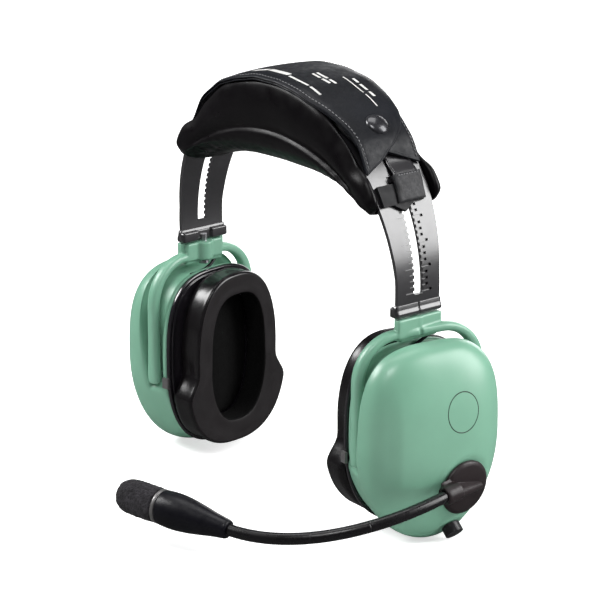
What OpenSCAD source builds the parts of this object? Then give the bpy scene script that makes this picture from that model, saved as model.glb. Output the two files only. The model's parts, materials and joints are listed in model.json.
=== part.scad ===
// Aviation headset: padded headband, two slotted size blades, two suspension yokes,
// two domed ear cups with ear seals, and a swivelling gooseneck microphone boom.
// Frame: origin midway between the two cup tilt axes, +Z up, the wearer faces -Y,
// the wearer's left ear is at +X and carries the boom.

/* [Headband] */
// Height of the headband arch centre above the cup tilt axes
arch_z = 85; // [84.5:0.5:85.5]
// Inner radius of the size blades about the arch centre
blade_ri = 89.8; // [89.6:0.1:90]
// Thickness of a size blade
blade_t = 2.4; // [2:0.1:2.5]
// Width of a size blade near its foot
blade_w = 28.4; // [27:0.2:29.4]
// Width of a size blade at its upper end
blade_top_w = 36.8; // [34:0.2:37.2]
// Width of the adjusting slot in a blade
slot_w = 5.8; // [5.2:0.1:6.4]
// Half width of the head pad
pad_half_w = 26; // [24:1:28]
// Half width of the curve of the pad's inner surface
pad_in_a = 98; // [96:1:100]
// Height of the inner surface's side edges above the arch centre
pad_in_b = 58; // [55:1:60]
// Outer radius of the leather cover
cover_ro = 100; // [99.8:0.1:101]

/* [Ear cups] */
// Distance of each tilt axis centre from the middle plane
cup_x = 91.8; // [91.4:0.1:92.2]
// Toe-in of the cups, front edges closer together
toe = 8; // [7:0.5:9]
// Half width of a dome
dome_a = 41.4; // [40.5:0.1:42]
// Height of the middle of a dome
dome_zc = 10; // [9:0.5:11]
// Dome height above its middle
dome_up = 50; // [49:0.5:50.5]
// Dome depth below its middle
dome_down = 57; // [55:0.5:58]
// How far the dome stands out from the tilt axis
dome_out = 27.9; // [27:0.1:29]
// Wall thickness of a dome
wall = 2.6; // [2.2:0.1:3]
// Distance of an ear seal's face inboard of the tilt axis
seal_face = 29; // [27:0.5:31]
// Half width of a seal above its waist
seal_top_w = 31; // [30:0.1:32]
// Half width of a seal below its waist
seal_low_w = 39; // [37:0.1:40]

/* [Yokes] */
// Radius of a yoke arm
arm_r = 2.8; // [2.4:0.1:2.9]
// Distance of an arm from the middle of the cup
arm_v = 36; // [36:0.1:36.4]
// Radius of the bend from the collar into an arm
arm_bend = 21; // [20.5:0.5:21]
// Radius of a pivot pin
pin_r = 1.5; // [1.2:0.1:1.8]
// Radius of the swivel post between blade and yoke
post_r = 2; // [1.8:0.1:2.2]

/* [Boom] */
// Radius of the gooseneck
goose_r = 3.15; // [2.9:0.05:3.3]
// Radius of the swivel disc
disc_r = 15; // [14:0.5:15.5]
// Radius of the microphone windscreen
foam_r = 9.3; // [8.5:0.1:9.4]
// Length of the microphone windscreen
foam_len = 25; // [23:1:29]

/* [Hidden] */

$fn = 64;
gap = 0.02;
run_gap = 0.05;
green = [0.46, 0.71, 0.58];
black = [0.08, 0.08, 0.09];
soft_black = [0.13, 0.13, 0.14];
steel = [0.7, 0.71, 0.72];

spring_ri = 88.3;
spring_ro = 89.5;
spring_half_w = 12;
spring_end = 28;
blade_ro = blade_ri + blade_t;
blade_end = -6;
blade_top = 58;
slot_lo = -1.3;
slot_hi = 43;
taper_lo = 92;
taper_hi = 136;
slider_e = 32;
block_lo = 28.4;
block_hi = 35.2;
block_t = 2;
block_half_w = 13.5;
block_v = -2.5;
block_tip = 4.2;
stud_r = 2.4;
stud_lo = 88.2;
stud_len = 5.5;
strap_half_w = 9;
strap_v = 4;
strap_t = 1;
strap_hi = 49;
tab_t = 2.2;
tab_lo = 28.6;
tab_hi = 37.6;
tooth_step = 2;
tooth_n = 20;
tooth_w = 1.4;
tooth_len = 3.2;
long_tooth_len = 5.8;
pad_ro = 88.1;
pad_in_n = 2.35;
pad_in_max = 85.6;
pad_crown = [[0, 0], [4.5, 4.2], [12, 8.2]];
pad_end = 27.5;
rim_end = 29;
rim_ro = 97;
rim_v = 22.4;
rim_half_w = 3;
foam_end = 52;
foam_half_w = 18.5;
cover_end = 39.6;
cover_t = 2.3;
cover_half_w = 24;
cover_end_half_w = 19;
cover_bend_e = 50;
cover_drop = 4;
notch_v = -1;
notch_depth = 9;
snap_e = 54.2;
snap_r = 6.6;
snap_rim_t = 1.2;
snap_cap_t = 1;

collar_x = 89.9;
collar_t = 6;
collar_half_w = 14;
collar_lo = 61;
collar_hi = 71.7;
collar_boss_r = 5.6;
arm_drop = 2;
post_x = 88.7;
post_lo = 58.5;
post_head_r = 2.9;
post_head_t = 1.6;
post_grip = 2.9;
knuckle_r = 4.4;
knuckle_w = 5.4;
pin_len = 11.4;
pin_v = 32.8;
foot_in = 86.8;
foot_t = 6.4;
foot_over = 1.6;
foot_lo = 72.2;
foot_hi = 78.5;

neck_half_w = 32;
neck_top = 53;
neck_zc = 8;
neck_bottom = -39;
groove_end = -7;
lug_r = 5;
lug_w = 6;
lug_v = 29;
bush_u = 1;
bush_v = 12;
bush_z = -45;
bush_r = 4.5;
bush_bore_r = 3;
bush_flange_r = 6;
bush_flange_t = 1.9;
bush_len = 13;
lip_out = -5.5;
lip_in = -9.5;
baffle_in = -12.5;
flange_over = 5.6;
seal_back = -14;
bulge_u = 7;
lean = 7.4;
seal_zc = 8;
seal_b = 49;
waist_hi = 2;
waist_lo = -12;
hole_a = 21.7;
hole_b = 37;
hole_zc = 9;
cover_foam_t = 3.4;
cover_foam_in = -12.4;
liner_in = -8.8;
liner_out = 12;
phone_z = 10;
phone_r = 21;
phone_t = 4;
magnet_r = 15;
magnet_t = 6.4;
clip_v = 37.7;
clip_size = [4.2, 1.5, 6];

disc_at = [26.4, 11.5, -16.2];
disc_yaw = 8;
disc_pitch = 8;
disc_shaft_r = 4;
disc_rim_t = 1.6;
disc_bevel = 2.4;
sleeve_r = 4.9;
knob_at = [20, 8, -39];
knob_yaw = 8;
knob_pitch = 45;
knob_r = 5;
knob_t = 5;
shaft_r = 1.5;
pot_r = 5.2;
pot_neck_r = 3.5;
goose_c = [[126.5, -7.6, -14.9], [134.2, -57.7, -19.3], [106, -93.2, -31.9], [66, -104.5, -28.7]];
goose_cuts = [0, 0.25, 0.5, 0.75, 1];
ring_at = [25, -116.1, -25.4];
boot_len = norm(ring_at - goose_c[3]) - 0.6;
boot_end_r = 5;
boot_mid_r = 9.6;
socket_gap = 0.5;

// ---- outlines and frames ----

// Radius of the pad's inner surface about the arch centre, at elevation e
function pad_inner(e) =
    let (k = pow(abs(cos(e)) / pad_in_a, pad_in_n) + pow(abs(sin(e)) / pad_in_b, pad_in_n))
    min(pad_in_max, pow(k, -1 / pad_in_n));

// Point at angle t on a superellipse with its own size and squareness above and below
function squircle(t, a, up, down, n_up, n_down) =
    let (n = sin(t) > 0 ? n_up : n_down)
    let (b = sin(t) > 0 ? up : down)
    let (r = pow(pow(abs(cos(t) / a), n) + pow(abs(sin(t) / b), n), -1 / n))
    [r * cos(t), r * sin(t)];

// Outline of a dome, shrunk by the factor k about its middle
function dome_outline(k, inset, steps) =
    [for (i = [0 : steps - 1])
        let (p = squircle(i * 360 / steps, dome_a - inset, dome_up - inset, dome_down - inset, 3.1, 2))
        [k * p[0], dome_zc + k * p[1]]];

// Smooth step from 0 to 1 as z falls from hi to lo
function fall(z, hi, lo) =
    let (s = max(0, min(1, (hi - z) / (hi - lo))))
    s * s * (3 - 2 * s);

// Power of a sine or cosine that keeps its sign
function signed_pow(x, n) = sign(x) * pow(abs(x), n);

// Pear-shaped outline of an ear seal: narrow above a waist, wide below
function pear(inset, steps = 72) =
    [for (i = [0 : steps - 1])
        let (z = seal_zc + (seal_b - inset) * signed_pow(sin(i * 360 / steps), 0.8))
        let (w = seal_top_w - inset + (seal_low_w - seal_top_w) * fall(z, waist_hi, waist_lo))
        [w * signed_pow(cos(i * 360 / steps), 0.8), z]];

// Opening of an ear seal
function ear_hole(inset, steps = 60) =
    [for (i = [0 : steps - 1])
        let (p = squircle(i * 360 / steps, hole_a - inset, hole_b - inset, hole_b - inset, 2.8, 2.4))
        [p[0], hole_zc + p[1]]];

// Outer radius of the cover, which bends down onto the blades near its ends
function cover_r(e) = cover_ro - cover_drop * fall(min(e, 180 - e), cover_bend_e, cover_end + 0.4);

// Points on the boom's centre line
function boom_at(t) =
    pow(1 - t, 3) * goose_c[0] + 3 * pow(1 - t, 2) * t * goose_c[1]
    + 3 * (1 - t) * t * t * goose_c[2] + pow(t, 3) * goose_c[3];

// Children drawn in a cup's own frame: x outward, y rearward, z up, origin on the tilt axis
module cup_frame(side) {
    mirror([side > 0 ? 0 : 1, 0, 0]) translate([cup_x, 0, 0]) rotate([0, 0, -toe]) children();
}

// Prism whose outline lies in the cup's y-z plane, from x = u0 to x = u1
module slab(u0, u1, points) {
    translate([u0, 0, 0]) rotate([90, 0, 90]) linear_extrude(u1 - u0) polygon(points);
}

// Part of a curved band about the arch centre, between two elevations
module band(ri, ro, half_w, e0, e1) {
    translate([0, 0, arch_z]) rotate([90, 0, 0]) rotate([0, 0, e0])
        rotate_extrude(angle = e1 - e0, $fn = 180) translate([ri, -half_w]) square([ro - ri, 2 * half_w]);
}

// Children moved out along a radius of the arch, their z axis pointing outward
module on_arch(e, r) {
    translate([0, 0, arch_z]) rotate([0, 90 - e, 0]) translate([0, 0, r]) children();
}

// Round rod between two points
module rod(a, b, r0, r1) {
    d = b - a;
    len = norm(d);
    translate(a) rotate([0, acos(d[2] / len), atan2(d[1], d[0])]) cylinder(h = len, r1 = r0, r2 = r1);
}

module both_sides() {
    children();
    mirror([1, 0, 0]) children();
}

// ---- headband ----

// Spring steel strip that carries the pad and clamps the blades
module headband_spring() {
    color(steel) difference() {
        band(spring_ri, spring_ro, spring_half_w, spring_end, 180 - spring_end);
        for (e = [slider_e, 180 - slider_e]) on_arch(e, spring_ri - 1) cylinder(h = 4, r = stud_r + gap);
    }
}

// Thick soft pad, stepped where its inner face swells towards the middle, with a rim up each side
module head_pad() {
    n = 48;
    color(soft_black) union() {
        for (k = [0 : len(pad_crown) - 1])
            let (w = pad_half_w - pad_crown[k][0])
            let (deep = pad_crown[k][1])
            let (e0 = pad_end + deep / 4)
            translate([0, w, arch_z]) rotate([90, 0, 0]) linear_extrude(2 * w) polygon(concat(
                [for (i = [0 : n]) let (e = e0 + (180 - 2 * e0) * i / n)
                    (pad_ro - deep / 4) * [cos(e), sin(e)]],
                [for (i = [n : -1 : 0]) let (e = e0 + (180 - 2 * e0) * i / n)
                    (pad_inner(e) - deep) * [cos(e), sin(e)]]));
        for (s = [-1, 1]) translate([0, s * rim_v, 0])
            band(pad_ro - 1, rim_ro, rim_half_w, rim_end, 180 - rim_end);
    }
}

// Foam between the blades and the cover
module upper_foam() {
    color(soft_black) band(blade_ro + 0.4, cover_ro - cover_t - 0.2, foam_half_w, foam_end, 180 - foam_end);
}

// Leather strip over the top: wide in the middle, narrower and notched at each end
module pad_cover() {
    n = 60;
    span = 180 - 2 * cover_end;
    color(black) difference() {
        intersection() {
            translate([0, cover_half_w + 1, arch_z]) rotate([90, 0, 0])
                linear_extrude(2 * cover_half_w + 2) polygon(concat(
                    [for (i = [0 : n]) let (e = cover_end + span * i / n) cover_r(e) * [cos(e), sin(e)]],
                    [for (i = [n : -1 : 0]) let (e = cover_end + span * i / n)
                        (cover_r(e) - cover_t) * [cos(e), sin(e)]]));
            translate([0, 0, arch_z]) linear_extrude(cover_ro + 5) polygon(concat(
                [for (p = [[85, -1], [63, -1], [38, -2]]) cover_corner(p)],
                [for (p = [[-38, -2], [-63, -1], [-85, -1], [-85, 1], [-63, 1], [-38, 2]]) cover_corner(p)],
                [for (p = [[38, 2], [63, 1], [85, 1]]) cover_corner(p)]));
        }
        both_sides() on_arch(cover_end, cover_ro - 15) linear_extrude(20)
            polygon([[2, -cover_end_half_w - 1], [2, cover_end_half_w + 1], [-notch_depth, notch_v]]);
    }
}
// Corner of the cover seen from above: 1 marks its narrow end, 2 its wide middle, the sign its side
function cover_corner(p) = [p[0], sign(p[1]) * (abs(p[1]) > 1 ? cover_half_w : cover_end_half_w)];

// Press snaps that close the cover
module cover_snaps() {
    color(steel) for (e = [snap_e, 180 - snap_e]) on_arch(e, cover_ro + gap) {
        cylinder(h = snap_rim_t, r = snap_r);
        translate([0, 0, snap_rim_t]) cylinder(h = snap_cap_t, r1 = snap_r - 0.8, r2 = snap_r - 2.6);
    }
}

// Plates with a pointed lower edge that lie on the blades' outer face
module slider_blocks() {
    color(black) both_sides() difference() {
        translate([0, block_v, 0]) {
            band(blade_ro + 0.2, blade_ro + 0.2 + block_t, block_half_w, block_lo, block_hi);
            on_arch(block_lo, blade_ro + 0.3) linear_extrude(block_t - 0.2)
                polygon([[-1, -block_half_w / 2], [0, -block_half_w / 2], [block_tip, 0],
                    [0, block_half_w / 2], [-1, block_half_w / 2]]);
        }
        on_arch(slider_e, blade_ri) cylinder(h = stud_lo + stud_len + 0.1 - blade_ri, r = stud_r + gap);
    }
}

// Studs from each block through the blade's slot into the spring
module slider_studs() {
    color(steel) both_sides() on_arch(slider_e, stud_lo) cylinder(h = stud_len, r = stud_r);
}

// Straps from under the cover, each ending in a thick tab over its plate
module keeper_straps() {
    ri = blade_ro + 0.4;
    tab_ri = blade_ro + block_t + 0.3;
    color(soft_black) both_sides() translate([0, strap_v, 0]) {
        band(ri, ri + strap_t, strap_half_w, tab_hi - 1, strap_hi);
        band(ri, tab_ri + tab_t, strap_half_w, block_hi + 0.4, tab_hi);
        band(tab_ri, tab_ri + tab_t, strap_half_w, tab_lo, block_hi + 1);
    }
}

// ---- size blades ----

// Tapered strip of the size adjustment: a slot with notches along both edges, every fourth one long
module blade() {
    difference() {
        intersection() {
            band(blade_ri, blade_ro, blade_top_w / 2 + 1, blade_end, blade_top);
            translate([0, 0, arch_z - 20]) rotate([90, 0, 90]) linear_extrude(blade_ro + 5) polygon(concat(
                [for (p = [[-1, -20], [1, -20], [1, taper_lo - arch_z]]) [p[0] * blade_w / 2, p[1] + 20]],
                [for (p = [[1, taper_hi - arch_z], [1, 100]]) [p[0] * blade_top_w / 2, p[1] + 20]],
                [for (p = [[-1, 100], [-1, taper_hi - arch_z]]) [p[0] * blade_top_w / 2, p[1] + 20]],
                [[-blade_w / 2, taper_lo - arch_z + 20]]));
        }
        band(blade_ri - 1, blade_ro + 1, slot_w / 2, slot_lo, slot_hi);
        for (i = [0 : tooth_n - 1], s = [0, 1])
            on_arch(slot_lo + 1 + i * tooth_step, blade_ro - 1) mirror([0, s, 0])
                translate([-tooth_w / 2, slot_w / 2 - 0.2, 0])
                    cube([tooth_w, (i % 4 == 0 ? long_tooth_len : tooth_len) + 0.2, 2]);
    }
}
module left_blade() { color(black) blade(); }
module right_blade() { color(black) mirror([1, 0, 0]) blade(); }

// Folded foot that joins a blade to its swivel post
module blade_foot() {
    difference() {
        translate([foot_in, -blade_w / 2 - foot_over, foot_lo])
            cube([foot_t, blade_w + 2 * foot_over, foot_hi - foot_lo]);
        band(blade_ri - gap, blade_ro + gap, blade_w / 2 + gap, blade_end - 0.01, 10);
        translate([post_x, 0, foot_lo - 1]) cylinder(h = post_grip + 1.1, r = post_r + gap);
    }
}
module left_blade_foot() { color(black) blade_foot(); }
module right_blade_foot() { color(black) mirror([1, 0, 0]) blade_foot(); }

// Post fixed in the foot, with a head under the yoke's collar
module swivel_post() {
    translate([post_x, 0, post_lo + 0.4]) cylinder(h = foot_lo + post_grip - post_lo - 0.4, r = post_r);
    translate([post_x, 0, post_lo]) cylinder(h = post_head_t, r = post_head_r);
}
module left_swivel_post() { color(steel) swivel_post(); }
module right_swivel_post() { color(steel) mirror([1, 0, 0]) swivel_post(); }

// ---- yokes ----

// One arm: a bend from the collar, a straight leg and a knuckle on the tilt axis
module yoke_arm() {
    z = collar_lo + arm_drop - arm_bend;
    translate([0, arm_v - arm_bend, z]) rotate([90, 0, 90])
        rotate_extrude(angle = 90) translate([arm_bend, 0]) circle(r = arm_r, $fn = 32);
    translate([0, arm_v, 0]) cylinder(h = z, r = arm_r);
    translate([0, arm_v - knuckle_w / 2, 0]) rotate([-90, 0, 0]) cylinder(h = knuckle_w, r = knuckle_r);
}

// Stirrup: a collar on the swivel post and two arms down the sides of the cup
module yoke() {
    difference() {
        union() {
            cup_frame(1) {
                yoke_arm();
                mirror([0, 1, 0]) yoke_arm();
                translate([0, arm_bend - arm_v, collar_lo + arm_drop]) rotate([-90, 0, 0])
                    cylinder(h = 2 * (arm_v - arm_bend), r = arm_r);
            }
            translate([collar_x - collar_t / 2, -collar_half_w, collar_lo])
                cube([collar_t, 2 * collar_half_w, collar_hi - collar_lo]);
            translate([post_x, 0, collar_lo]) cylinder(h = collar_hi - collar_lo, r = collar_boss_r);
        }
        translate([post_x, 0, collar_lo - 5]) cylinder(h = 20, r = post_r + run_gap);
        cup_frame(1) for (s = [-1, 1]) translate([0, s * arm_v, 0]) rotate([90, 0, 0])
            cylinder(h = 8, r = pin_r + gap, center = true);
    }
}
module left_yoke() { color(green) yoke(); }
module right_yoke() { color(green) mirror([1, 0, 0]) yoke(); }

// Pins at the arm ends, fixed in the arms and turning in the dome
module pivot_pins() {
    for (s = [-1, 1]) translate([0, s * pin_v, 0]) rotate([90, 0, 0])
        cylinder(h = pin_len, r = pin_r, center = true);
}
module left_pivot_pins() { color(steel) cup_frame(1) pivot_pins(); }
module right_pivot_pins() { color(steel) cup_frame(-1) pivot_pins(); }

// ---- ear cups ----

// Bulging outer body; its inboard side leans away from the yoke arms so that the cup can tilt
module bulge(inset, steps) {
    d = dome_out - inset - bulge_u;
    difference() {
        hull() {
            for (k = [0, 0.45, 0.7, 0.88, 0.97, 1])
                slab(bulge_u + d * k - (k == 0 ? 3 : 0.02), bulge_u + d * k,
                    dome_outline(pow(max(1 - pow(k, 2.75), 0.02), 1 / 2.75), inset, steps));
        }
        translate([-10 + inset * 0.9, -60, 0]) rotate([0, lean, 0]) translate([0, 0, -20])
            cube([13.6, 120, 100]);
    }
}

// Outline of the dome's neck
function neck_outline(inset) =
    [for (i = [0 : 47])
        let (up = neck_top - neck_zc - inset)
        let (down = neck_zc - neck_bottom - inset)
        let (p = squircle(i * 7.5, neck_half_w - inset, up, down, 3, 2.3))
        [p[0], neck_zc + p[1]]];

// Solid bosses in the dome's walls for the pins
module pivot_lugs() {
    for (s = [-1, 1]) translate([0, s * lug_v, 0]) rotate([90, 0, 0])
        cylinder(h = lug_w, r = lug_r, center = true);
}

// Hollow dome with a narrow neck between the yoke's arms and a lip for the ring
module dome_shell() {
    difference() {
        union() {
            bulge(0, 48);
            slab(lip_out - 1, bulge_u + 3, neck_outline(0));
            slab(lip_in, lip_out, [for (p = neck_outline(-5)) [p[0], p[1] * 0.97]]);
            intersection() {
                slab(lip_in, bulge_u + 3, dome_outline(0.94, 0, 48));
                translate([-20, -60, groove_end - 60]) cube([60, 120, 60]);
            }
            pivot_lugs();
        }
        difference() {
            union() {
                bulge(wall, 40);
                slab(lip_in - 1, bulge_u + 6, neck_outline(wall));
            }
            pivot_lugs();
        }
        for (s = [0, 1]) mirror([0, s, 0]) rotate([-90, 0, 0]) {
            translate([0, 0, lug_v - 6]) cylinder(h = 14, r = pin_r + run_gap);
            translate([0, 0, lug_v + lug_w / 2 + 0.55]) cylinder(h = 11, r = knuckle_r + 0.4);
        }
    }
}

// Children with their z axis along the boom's swivel axis, from its seat on the dome
module boom_frame() {
    translate(disc_at) rotate([0, 0, disc_yaw]) rotate([0, 90 + disc_pitch, 0]) children();
}

// Children with their z axis along the volume knob's axis
module knob_frame() {
    translate(knob_at) rotate([0, 0, knob_yaw]) rotate([0, 90 + knob_pitch, 0]) children();
}

// Dome that carries the boom, the volume control and the cord
module left_dome() {
    color(green) cup_frame(1) difference() {
        union() {
            dome_shell();
            boom_frame() translate([0, 0, -4.4]) cylinder(h = 4.4, r = disc_r + 0.6);
            knob_frame() translate([0, 0, -4]) cylinder(h = 4, r = knob_r + 1.5);
            translate([bush_u, bush_v, bush_z]) cylinder(h = 10, r = bush_r + 2);
        }
        boom_frame() {
            cylinder(h = 12, r = disc_r + 0.6);
            translate([0, 0, -8]) cylinder(h = 10, r = disc_shaft_r + run_gap);
        }
        knob_frame() {
            cylinder(h = 12, r = knob_r + 2);
            translate([0, 0, -8]) cylinder(h = 10, r = pot_neck_r + gap);
            translate([0, 0, -12]) cylinder(h = 7.95, r = pot_r + 0.2);
        }
        translate([bush_u, bush_v, bush_z - 10]) cylinder(h = 24, r = bush_r + gap);
        translate([bush_u, bush_v, bush_z - 10]) cylinder(h = 10, r = bush_flange_r + 0.6);
    }
}
module right_dome() { color(green) cup_frame(-1) dome_shell(); }

// Black ring that closes the dome and carries the seal
module baffle_ring() {
    difference() {
        union() {
            slab(baffle_in, lip_in - gap, [for (p = neck_outline(-flange_over)) [p[0], p[1] * 0.97]]);
            slab(seal_back + gap, baffle_in, pear(6));
        }
        slab(seal_back - 1, lip_in + 1, ear_hole(-2));
    }
}
module left_baffle_ring() { color(black) cup_frame(1) baffle_ring(); }
module right_baffle_ring() { color(black) cup_frame(-1) baffle_ring(); }

// Cushion that seals round the ear
module ear_seal() {
    difference() {
        union() {
            slab(-seal_face, -seal_face + 2.5, pear(1.5));
            slab(-seal_face + 2.5, seal_back, pear(0));
        }
        slab(-seal_face - 1, seal_back + 1, ear_hole(0));
    }
}
module left_ear_seal() { color(soft_black) cup_frame(1) ear_seal(); }
module right_ear_seal() { color(soft_black) cup_frame(-1) ear_seal(); }

// Thin open-cell foam over the earphone
module foam_cover() { slab(cover_foam_in, cover_foam_in + cover_foam_t, ear_hole(-1.5)); }
module left_foam_cover() { color(black) cup_frame(1) foam_cover(); }
module right_foam_cover() { color(black) cup_frame(-1) foam_cover(); }

// Foam block in the dome that holds the earphone
module foam_liner() {
    difference() {
        slab(liner_in, liner_out,
            [for (p = neck_outline(wall + 5)) [p[0], neck_zc + (p[1] - neck_zc) * 0.8]]);
        translate([liner_in - 1.2, 0, phone_z]) rotate([0, 90, 0]) cylinder(h = 12.1, r = phone_r + 0.1);
    }
}
module left_foam_liner() { color(soft_black) cup_frame(1) foam_liner(); }
module right_foam_liner() { color(soft_black) cup_frame(-1) foam_liner(); }

// Loudspeaker: a wide frame with its magnet behind it
module earphone() {
    translate([liner_in + 0.2, 0, phone_z]) rotate([0, 90, 0]) {
        cylinder(h = phone_t, r = phone_r);
        translate([0, 0, phone_t]) cylinder(h = magnet_t, r = magnet_r);
    }
}
module left_earphone() { color(steel) cup_frame(1) earphone(); }
module right_earphone() { color(steel) cup_frame(-1) earphone(); }

// Small clips at the ends of the seal's elastic, on the ring's front and rear edges
module seal_clips() {
    for (s = [0, 1]) mirror([0, s, 0]) translate([baffle_in + 0.4, clip_v, -5]) cube(clip_size);
}
module left_seal_clips() { color(steel) cup_frame(1) seal_clips(); }
module right_seal_clips() { color(steel) cup_frame(-1) seal_clips(); }

// Wire from the headband into the dome, hanging below the collar
module crossover_wire() {
    a = [-2.5, 7, 59.3];
    b = [-2.2, 3, 55.8];
    c = [-1, -4, 54.2];
    rod(a, b - [0, 0.2, 0.2], 1, 1);
    rod(b, c, 1, 1);
}
module left_crossover_wire() { color(black) cup_frame(1) crossover_wire(); }
module right_crossover_wire() { color(black) cup_frame(-1) crossover_wire(); }

// Bushing in the bottom of the left dome where the cord enters
module cord_bushing() {
    color(black) cup_frame(1) translate([bush_u, bush_v, bush_z - 2]) difference() {
        union() {
            cylinder(h = bush_len, r = bush_r);
            cylinder(h = bush_flange_t, r = bush_flange_r);
        }
        translate([0, 0, -1]) cylinder(h = bush_len + 2, r = bush_bore_r);
    }
}

// Volume control inside the dome
module volume_pot() {
    color(steel) cup_frame(1) knob_frame() difference() {
        union() {
            translate([0, 0, -5]) cylinder(h = 4.8, r = pot_neck_r);
            translate([0, 0, -10]) cylinder(h = 5.9, r = pot_r);
        }
        translate([0, 0, -9]) cylinder(h = 12, r = shaft_r + run_gap);
    }
}
// Knob with grip grooves, and its shaft
module volume_knob() {
    color(black) cup_frame(1) knob_frame() difference() {
        union() {
            translate([0, 0, 0.4]) cylinder(h = knob_t, r = knob_r);
            translate([0, 0, -8.6]) cylinder(h = 10, r = shaft_r);
        }
        for (i = [0 : 15]) rotate([0, 0, i * 22.5])
            translate([knob_r - 0.1, -0.35, 0.3]) cube([1, 0.7, knob_t + 1]);
    }
}

// ---- boom ----

// Disc that turns in its seat on the dome, with its shaft
module boom_disc() {
    color(black) cup_frame(1) boom_frame() {
        translate([0, 0, 0.2]) cylinder(h = disc_rim_t, r = disc_r);
        translate([0, 0, 0.2 + disc_rim_t]) cylinder(h = 1.4, r1 = disc_r, r2 = disc_r - disc_bevel);
        translate([0, 0, -8]) cylinder(h = 9, r = disc_shaft_r);
    }
}

// Nut that keeps the disc's shaft in the dome
module boom_nut() {
    color(steel) cup_frame(1) boom_frame() translate([0, 0, -7.4]) difference() {
        cylinder(h = 2.7, r = 7.5, $fn = 6);
        translate([0, 0, -1]) cylinder(h = 5, r = disc_shaft_r + gap);
    }
}

// Wedge on the disc with the sleeve that grips the gooseneck
module boom_hub() {
    dir = boom_at(goose_cuts[1]) - boom_at(0);
    back = boom_at(0) - 5 * dir / norm(dir);
    front = boom_at(0) + 4 * dir / norm(dir);
    color(black) difference() {
        union() {
            rod(back, front, sleeve_r, sleeve_r);
            hull() {
                rod(back, front - 2 * dir / norm(dir), sleeve_r - 0.3, sleeve_r - 0.3, $fn = 32);
                cup_frame(1) boom_frame() translate([0, 7, 3.3]) cylinder(h = 0.1, r = 5, $fn = 32);
            }
        }
        rod(boom_at(0), front + dir, goose_r + gap, goose_r + gap);
        cup_frame(1) boom_frame() translate([0, 0, -16.8]) cylinder(h = 20.05, r = 18);
    }
}

// One length of the gooseneck, with a hollow at its start and an upright hinge barrel at its end
module goose(i) {
    a = boom_at(goose_cuts[i]);
    b = boom_at(goose_cuts[i + 1]);
    difference() {
        union() {
            rod(a, b, goose_r, goose_r);
            if (i < 3) translate(b) cylinder(h = 5, r = goose_r - 0.15, center = true);
        }
        if (i > 0) translate(a) cylinder(h = 12, r = goose_r + socket_gap, center = true);
    }
}
module gooseneck_1() { color(black) goose(0); }
module gooseneck_2() { color(black) goose(1); }
module gooseneck_3() { color(black) goose(2); }
module gooseneck_4() { color(black) goose(3); }

mic_dir = (ring_at - goose_c[3]) / norm(ring_at - goose_c[3]);

// Children with their z axis along the microphone, from the end of the boot
module mic_frame() {
    translate(ring_at) rotate([0, acos(mic_dir[2]), atan2(mic_dir[1], mic_dir[0])]) children();
}

// Tapered rubber boot between the gooseneck and the microphone
module mic_boot() {
    color(soft_black) mic_frame() rotate_extrude() polygon([
        [0, -boot_len], [boot_end_r - 0.8, -boot_len], [boot_end_r, 1 - boot_len],
        [boot_mid_r - 0.3, -boot_len * 0.36], [boot_mid_r, -boot_len * 0.2], [foam_r - 0.2, 0], [0, 0]]);
}
// Collar between the boot and the windscreen
module mic_ring() {
    color(steel) mic_frame() translate([0, 0, 0.05]) cylinder(h = 1.95, r = foam_r - 0.5);
}
// Microphone inside the windscreen
module mic_capsule() {
    color(steel) mic_frame() translate([0, 0, 2.1]) cylinder(h = 11.9, r = 5);
}
// Foam sleeve with a rounded end
module windscreen() {
    color(soft_black) mic_frame() translate([0, 0, 2.1]) rotate_extrude() difference() {
        union() {
            square([foam_r, foam_len - foam_r]);
            intersection() {
                translate([0, foam_len - foam_r]) circle(r = foam_r);
                square([foam_r, foam_len]);
            }
        }
        translate([-1, -1]) square([6.05, 13]);
    }
}

headband_spring();
head_pad();
upper_foam();
pad_cover();
cover_snaps();
slider_blocks();
slider_studs();
keeper_straps();
left_blade();
left_blade_foot();
left_swivel_post();
right_blade();
right_blade_foot();
right_swivel_post();
left_yoke();
left_pivot_pins();
right_yoke();
right_pivot_pins();
left_dome();
left_baffle_ring();
left_ear_seal();
left_foam_cover();
left_foam_liner();
left_earphone();
left_seal_clips();
left_crossover_wire();
right_dome();
right_baffle_ring();
right_ear_seal();
right_foam_cover();
right_foam_liner();
right_earphone();
right_seal_clips();
right_crossover_wire();
cord_bushing();
volume_pot();
volume_knob();
boom_disc();
boom_hub();
boom_nut();
gooseneck_1();
gooseneck_2();
gooseneck_3();
gooseneck_4();
mic_boot();
mic_ring();
mic_capsule();
windscreen();
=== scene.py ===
import json
import math

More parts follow.
